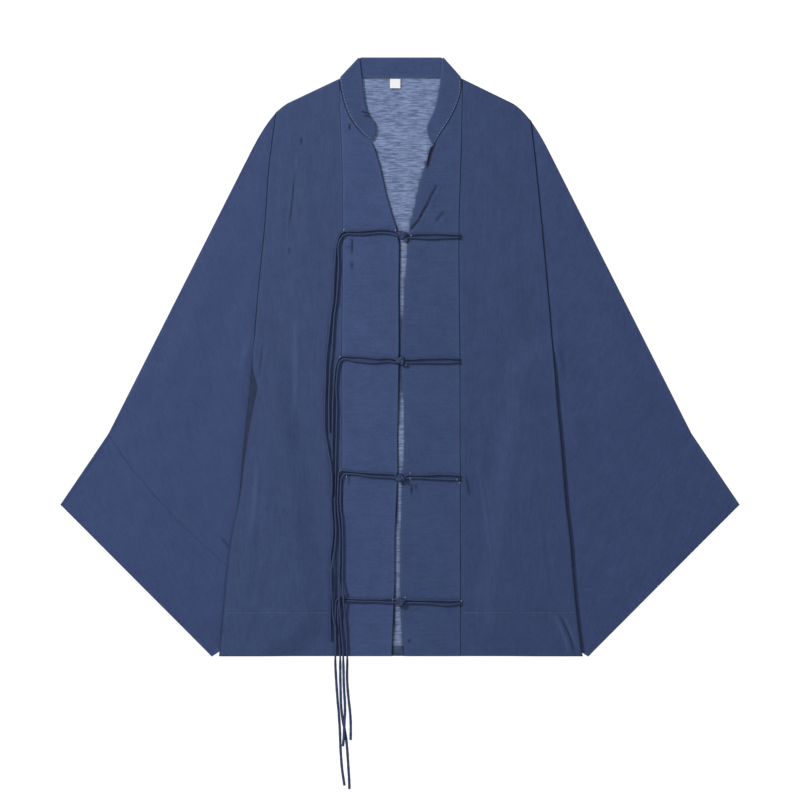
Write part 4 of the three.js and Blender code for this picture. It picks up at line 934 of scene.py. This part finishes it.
def collar_side(side):
    """Sections from a rounded front end, over the half-turn at the side of the neck, to the back: rows of
    seam point, free point and the outside's normal."""
    table = rope_curve(COLLAR_FRONT[side], COLLAR_STEP)
    level = np.full((len(table), 1), COLLAR_FRONT_MIDDLE)
    front = np.hstack([table[:, :2], level, table[:, 2:], level, np.tile(UP, (len(table), 1))])
    seam_end, free_end = (np.array(p) for p in COLLAR_FOLD[side])
    direction = (free_end - seam_end) / apart(free_end, seam_end)
    inward = np.array([-direction[1], direction[0]])
    angle = np.linspace(0, np.pi, FOLD_SECTIONS)[:, None]
    outer_radius = FOLD_RADIUS + DOUBLED / 2
    inset = outer_radius - FOLD_RADIUS * np.sin(angle)
    level = outer_radius + FOLD_RADIUS * np.cos(angle)
    normal = np.hstack([-np.sin(angle) * inward, np.cos(angle)])
    fold = np.hstack([seam_end + inward * inset, level, free_end + inward * inset, level, normal])
    out = np.linspace(BACK_START, 1, BACK_SECTIONS)[:, None]
    free_out = np.minimum(out, free_end[0] - 2 * outer_radius)
    flat = np.ones_like(out)
    level = flat * (DOUBLED / 2 + 0.06)
    rest = np.hstack([out, flat * (NECK_Y + SEAM_GAP), level, free_out, flat * COLLAR_TOP_Y, level,
                      0 * flat, 0 * flat, -flat])
    return np.vstack([front, fold, rest]) * np.tile([SIDES[side], 1, 1], 3)


def build_collar():
    """The doubled band from one front end round the neck to the other."""
    rows = np.vstack([collar_side("right"), collar_side("left")[::-1]])
    u = crowded(20, 0.9)[None, :, None]
    seam, free, normal = (rows[:, None, k:k + 3] for k in (0, 3, 6))
    middle = seam * (1 - u) + free * u
    x, y = middle[..., 0], middle[..., 1]
    wave = ripple(x, y, 0.1, 51) + crease_relief(x, y, COLLAR_CREASES)
    middle = middle + normal * wave[..., None]
    rings = folded_loop(middle, normal, DOUBLED_HALF, 0.8)
    depth = apart(free, seam)
    # Painted highlight on the edges; painted shade along the seam edge and in narrow troughs.
    painted_highlight = edge_highlight(np.minimum(u, 1 - u)[..., 0] * depth)
    shade = 0.22 * bell(u[..., 0] * depth, 0.8) + fold_shade_and_highlight(x, y, COLLAR_CREASES, TROUGH)
    piece = closed_tube("collar_cloth", rings, middle.shape[1], both_faces(painted_highlight), both_faces(shade))
    finish_piece(piece, "band_cloth", BAND_CLOTH["left"], nodes=["collar"])
    declare_sheet(middle)


# ---------------------------------------------------------------- cords, knots, label, stitches
CORD_SIDES = 14
CORD_STEP = 1.5
FLOOR_SPREAD = 0.36         # a tail lies this much wider where it is past the hem
KNOT_SPREAD = (4.6, 3.91)
KNOT_CORD = 2.35            # radius of the cord in a knot, which shows two turns as one
KNOT_TURNS = (18, -25, 62, 140)
KNOT_LEVEL = CLOTH_WALL + LAYER_GAP + DOUBLED + SEAM_GAP + KNOT_HALF_HEIGHT - 0.4
ENTRY = 1.2                 # the two cords of a tie enter its knot this far from its middle
KNOT_TUCK = (4.0, 5.2)      # how far from the knot's middle a cord ends in it, and its level
SEAM_TUCK = (2.0, 3.2)      # how far past the band seam a strand ends, and its level
TACK_LEVEL = 5.9            # on top of a cord that lies on a band
# Tacks that hold the cords down: x, y, turn in degrees.
TACKS = [
    (-72.8, 164.5, 80), (-5.8, 164.5, 90), (14.3, 157.3, 90), (-78, 0, 85), (7.8, -10.4, 90),
    (-78, -147.5, 60), (-69.5, -155.4, 90), (13, -151, 80), (13.2, -158, 95), (74.1, -159.3, 90),
    (77.3, -163.2, 40), (6.5, -312, 90), (6.8, -318.6, 80), (-9.8, -315.3, 90), (79.3, -316.6, 85),
]


def square_to(direction):
    """Unit vectors along a direction, level and square to it, and square to both."""
    direction = direction / np.linalg.norm(direction, axis=1)[:, None]
    level = np.cross(direction, UP)
    level /= np.linalg.norm(level, axis=1)[:, None]
    return direction, level, np.cross(level, direction)


def ring_shape(level, other, sides=CORD_SIDES):
    """Circles of radius 1 in the planes of two vectors: level times the cosine plus other times the sine."""
    turn = np.linspace(0, 2 * np.pi, sides, endpoint=False)[None, :, None]
    return level[:, None] * np.cos(turn) + other[:, None] * np.sin(turn)


def tube_points(path, radius, spread):
    """Rings round a path: the side vector is level and drawn out by the spread, the other is square to it
    and to the path; both ends are closed by rings that shrink on a quarter circle."""
    tangent, level, other = square_to(np.gradient(path, axis=0))
    ring = ring_shape(level * spread[:, None], other)
    cap = np.linspace(0.15, 1, 4) * np.pi / 2
    ends = []
    for place, direction in ((0, -1), (-1, 1)):
        centre = path[place] + direction * tangent[place] * radius[place] * 0.6 * np.sin(cap)[:, None]
        size = radius[place] * np.maximum(np.cos(cap), 0.02)
        ends.append(centre[:, None] + ring[place] * size[:, None, None])
    return np.concatenate([ends[0][::-1], path[:, None] + ring * radius[:, None, None], ends[1]])


def painted_side_shade(rings, low=0.1, high=0.72):
    """Painted shade on a cord by its facing: none on top, full where it faces sideways and down."""
    away = rings - rings.mean(axis=1, keepdims=True)
    up = away[..., 2] / np.maximum(np.linalg.norm(away, axis=2), 1e-6)
    return 0.9 * (1 - soft_step(up, low, high))


def with_levels(points):
    """Points as x, y, z, each without a z on the level of the one before it."""
    rows = []
    for x, y, *level in points:
        rows.append((x, y, level[0] if level else rows[-1][2]))
    return rows


def build_cord(name, route, node, tucks=(None, None)):
    """A turned cord along its route, with a slightly uneven body; tucks are extra points inside the knot or
    the seam that hide its ends."""
    path = rope_curve([p for p in (tucks[0], *route, tucks[1]) if p is not None], CORD_STEP)
    along = np.arange(len(path)) * CORD_STEP
    uneven = 1 + 0.035 * np.sin(along / 3.1 + len(name)) + 0.03 * np.sin(along / 1.3 + route[0][1])
    spread = 1 + FLOOR_SPREAD * soft_step(-path[:, 1], -HEM_Y, 12 - HEM_Y)
    rings = tube_points(path, CORD_RADIUS * 0.96 * uneven, spread)
    piece = grid_mesh(name, rings, shade=painted_side_shade(rings), wrapped=True)
    finish_piece(piece, "cord_cloth", CORD_CLOTH, nodes=[node])


def build_knot(index):
    """A tied knot: a three-lobed closed turn, x = sin t + 2 sin 2t, y = cos t - 2 cos 2t, z = -sin 3t, drawn
    to the knot's size and turned a little differently on each tie."""
    t = np.linspace(0, 2 * np.pi, 120, endpoint=False)
    turn = math.radians(KNOT_TURNS[index])
    lobes = np.stack([np.sin(t) + 2 * np.sin(2 * t), np.cos(t) - 2 * np.cos(2 * t)], axis=1) / 3
    lobes = lobes @ np.array([[math.cos(turn), -math.sin(turn)], [math.sin(turn), math.cos(turn)]])
    path = np.column_stack([lobes * KNOT_SPREAD, -np.sin(3 * t) * (KNOT_HALF_HEIGHT - KNOT_CORD)])
    _, level, other = square_to(np.roll(path, -1, axis=0) - np.roll(path, 1, axis=0))
    rings = path[:, None] + KNOT_CORD * ring_shape(level, other)
    rings = np.concatenate([rings, rings[:1]]) + (*KNOT_PLACES[index], KNOT_LEVEL)
    piece = grid_mesh(f"tied_knot_{index + 1}", rings, shade=painted_side_shade(rings, 0.3, 0.95), wrapped=True)
    finish_piece(piece, "cord_cloth", CORD_CLOTH, nodes=[f"knot_{index + 1}"])
    return piece


def build_ties():
    """Each tie: its knot, the two strands from the left band's seam and the two tails."""
    for index, (knot_x, knot_y) in enumerate(KNOT_PLACES):
        knot = build_knot(index)
        for strand, dy in (("a", ENTRY), ("b", -ENTRY)):
            key = f"{index + 1}{strand}"
            route = with_levels(STRANDS[key])
            end_x, end_y, _ = route[-1]
            build_cord(f"strand_{key}", route[::-1], f"left_strand_{key}",
                       tucks=((end_x + SEAM_TUCK[0], end_y, SEAM_TUCK[1]),
                              (knot_x + KNOT_TUCK[0], knot_y + dy, KNOT_TUCK[1])))
            build_cord(f"tail_{key}", with_levels(TAILS[key]), f"right_tail_{key}",
                       tucks=((knot_x - KNOT_TUCK[0], knot_y + dy, KNOT_TUCK[1]), None))


def build_label():
    """A bare woven tab, slightly lifted at its lower edge."""
    u, v = crowded(14, 0.9)[None], crowded(14, 0.9)[:, None]
    x = LABEL["x"] + (u - 0.5) * LABEL["width"] + 0 * v
    y = LABEL["y"] + (v - 0.5) * LABEL["height"] + 0 * u
    lift = 0.5 * (1 - v) ** 2 + 0.12 * np.sin(3 * np.pi * u) * (1 - v)
    middle = np.dstack([x, y, CLOTH_WALL + SEAM_GAP + LABEL["thick"] / 2 - 0.5 + lift])
    piece = closed_tube("label_cloth", folded_loop(middle, UP, 0.2, 0.3), middle.shape[1])
    finish_piece(piece, "label_cloth", LABEL_CLOTH, nodes=["label"])


def build_stitches(name, centres, along, length, radius, thread):
    """Stitches as one mesh: a spindle at each centre, its radius times the root of 1 - s squared, laid
    along its own direction."""
    along, level, other = square_to(along)
    s = np.array([-1, -0.75, 0, 0.75, 1])
    size = radius * np.sqrt(np.maximum(1 - s ** 2, 0.02))
    ring = ring_shape(level, other, 6)
    shape = s[:, None, None] * length / 2 * along[:, None, None] + size[:, None, None] * ring[:, None]
    faces = grid_faces(*shape.shape[1:3], wrapped=True)
    offsets = np.arange(len(centres)) * shape.shape[1] * shape.shape[2]
    faces = (faces[None] + offsets[:, None, None]).reshape(-1, 4)
    piece = add_mesh(name, (centres[:, None, None] + shape).reshape(-1, 3), faces)
    finish_piece(piece, "band_cloth", thread)


def build_row(name, path, pitch=3.9, length=1.3, radius=0.26, thread=TACK_THREAD):
    """A row of stitches along a path at an even pitch, each a little off it."""
    path = np.array(path, float)
    count = int(apart(path[1:], path[:-1]).sum() / pitch)
    rng = np.random.default_rng(len(name))
    shares = (np.arange(count) + 0.5 + rng.uniform(-0.12, 0.12, count)) / count
    centres = chain(path, shares)
    build_stitches(name, centres, chain(path, np.clip(shares + 0.1 / count, 0, 1)) - centres,
                   length, radius, thread)


def build_all_stitches():
    """The rows at the hems, the collar's front ends and the neck, and the tacks of the cords."""
    for side, sign in SIDES.items():
        outer = float(read_table(SIDE_LINE[side], HEM_STITCH_Y)) - 3
        inner = float(read_table(BAND_SEAM[side], HEM_STITCH_Y)) + 3
        x = sign * np.linspace(outer, inner, 60)
        y = np.full(60, HEM_STITCH_Y)
        build_row(f"{side}_hem_stitches", np.stack([x, y, front_height(side, x, y) + 0.02], axis=1),
                  3.6, 1.4, 0.24, SEWING_THREAD)
        table = rope_curve(COLLAR_FRONT[side], 2.0)[3:]
        inward = table[:, 2:] - table[:, :2]
        inward /= np.linalg.norm(inward, axis=1)[:, None]
        seam = (table[:, :2] + inward * 1.8) * (sign, 1)
        level = np.full(len(seam), COLLAR_FRONT_MIDDLE + DOUBLED_HALF)
        build_row(f"{side}_collar_stitches", np.column_stack([seam, level]))
    x = np.linspace(-44, 46, 40)
    neck = np.stack([x, np.full(40, NECK_Y + SEAM_GAP + 1.0), np.full(40, DOUBLED)], axis=1)
    build_row("neck_stitches", neck, length=1.2)
    x, y, turn = np.array(TACKS, float).T
    turn = np.radians(turn)
    along = np.column_stack([np.cos(turn), np.sin(turn), 0 * turn])
    build_stitches("tie_tacks", np.column_stack([x, y, TACK_LEVEL + 0 * x]), along, 2.6, 0.36, TACK_THREAD)


# ---------------------------------------------------------------- floor, light and camera
FRAME_WIDTH = 1.04          # metres that the picture is wide
FRAME_MIDDLE = (0.0, -0.0559)
LENS = 100.0
SENSOR = 36.0
FLOOR = {"Base Color": (0.10, 0.10, 0.10, 1), "Emission Color": (1, 1, 1, 1), "Emission Strength": 1.0,
         "Roughness": 0.9, "Specular IOR Level": 0.1}


def build_stage():
    bpy.ops.mesh.primitive_plane_add(size=12, location=(0, 0, -0.0004))
    floor = bpy.context.object
    floor.name = "floor"
    material = bpy.data.materials.new("pale_floor")
    material.use_nodes = True
    for key, value in FLOOR.items():
        material.node_tree.nodes["Principled BSDF"].inputs[key].default_value = value
    floor.data.materials.append(material)


def add_area(name, place, size, power):
    """Round lamp that faces the jacket."""
    light = bpy.data.lights.new(name, "AREA")
    light.shape = "DISK"
    light.size = size
    light.energy = power
    lamp = link_object(name, light)
    lamp.location = place
    x, y, z = np.array([0, -0.05, 0]) - np.array(place)
    lamp.rotation_euler = (math.atan2(math.hypot(x, y), -z), 0, math.atan2(y, x) - math.pi / 2)


def build_light():
    world = bpy.data.worlds.new("studio")
    world.use_nodes = True
    background = world.node_tree.nodes["Background"]
    background.inputs["Color"].default_value = (1, 1, 1, 1)
    background.inputs["Strength"].default_value = 0.42
    bpy.context.scene.world = world
    add_area("key", (-2.4, 1.7, 1.9), 0.5, 120)
    add_area("fill", (1.6, -0.8, 2.8), 2.0, 16)
    bpy.context.scene.view_settings.view_transform = "Standard"


def build_camera():
    data = bpy.data.cameras.new("camera")
    data.lens = LENS
    data.sensor_width = SENSOR
    data.clip_end = 20
    camera = link_object("camera", data)
    camera.location = (*FRAME_MIDDLE, FRAME_WIDTH * LENS / SENSOR)
    bpy.context.scene.camera = camera


build_camera()
build_stage()
build_light()
build_back()
for wearer_side in SIDES:
    build_front(wearer_side)
    build_band(wearer_side)
    build_sleeve(wearer_side)
    build_cuff(wearer_side)
build_collar()
build_label()
build_ties()
build_all_stitches()
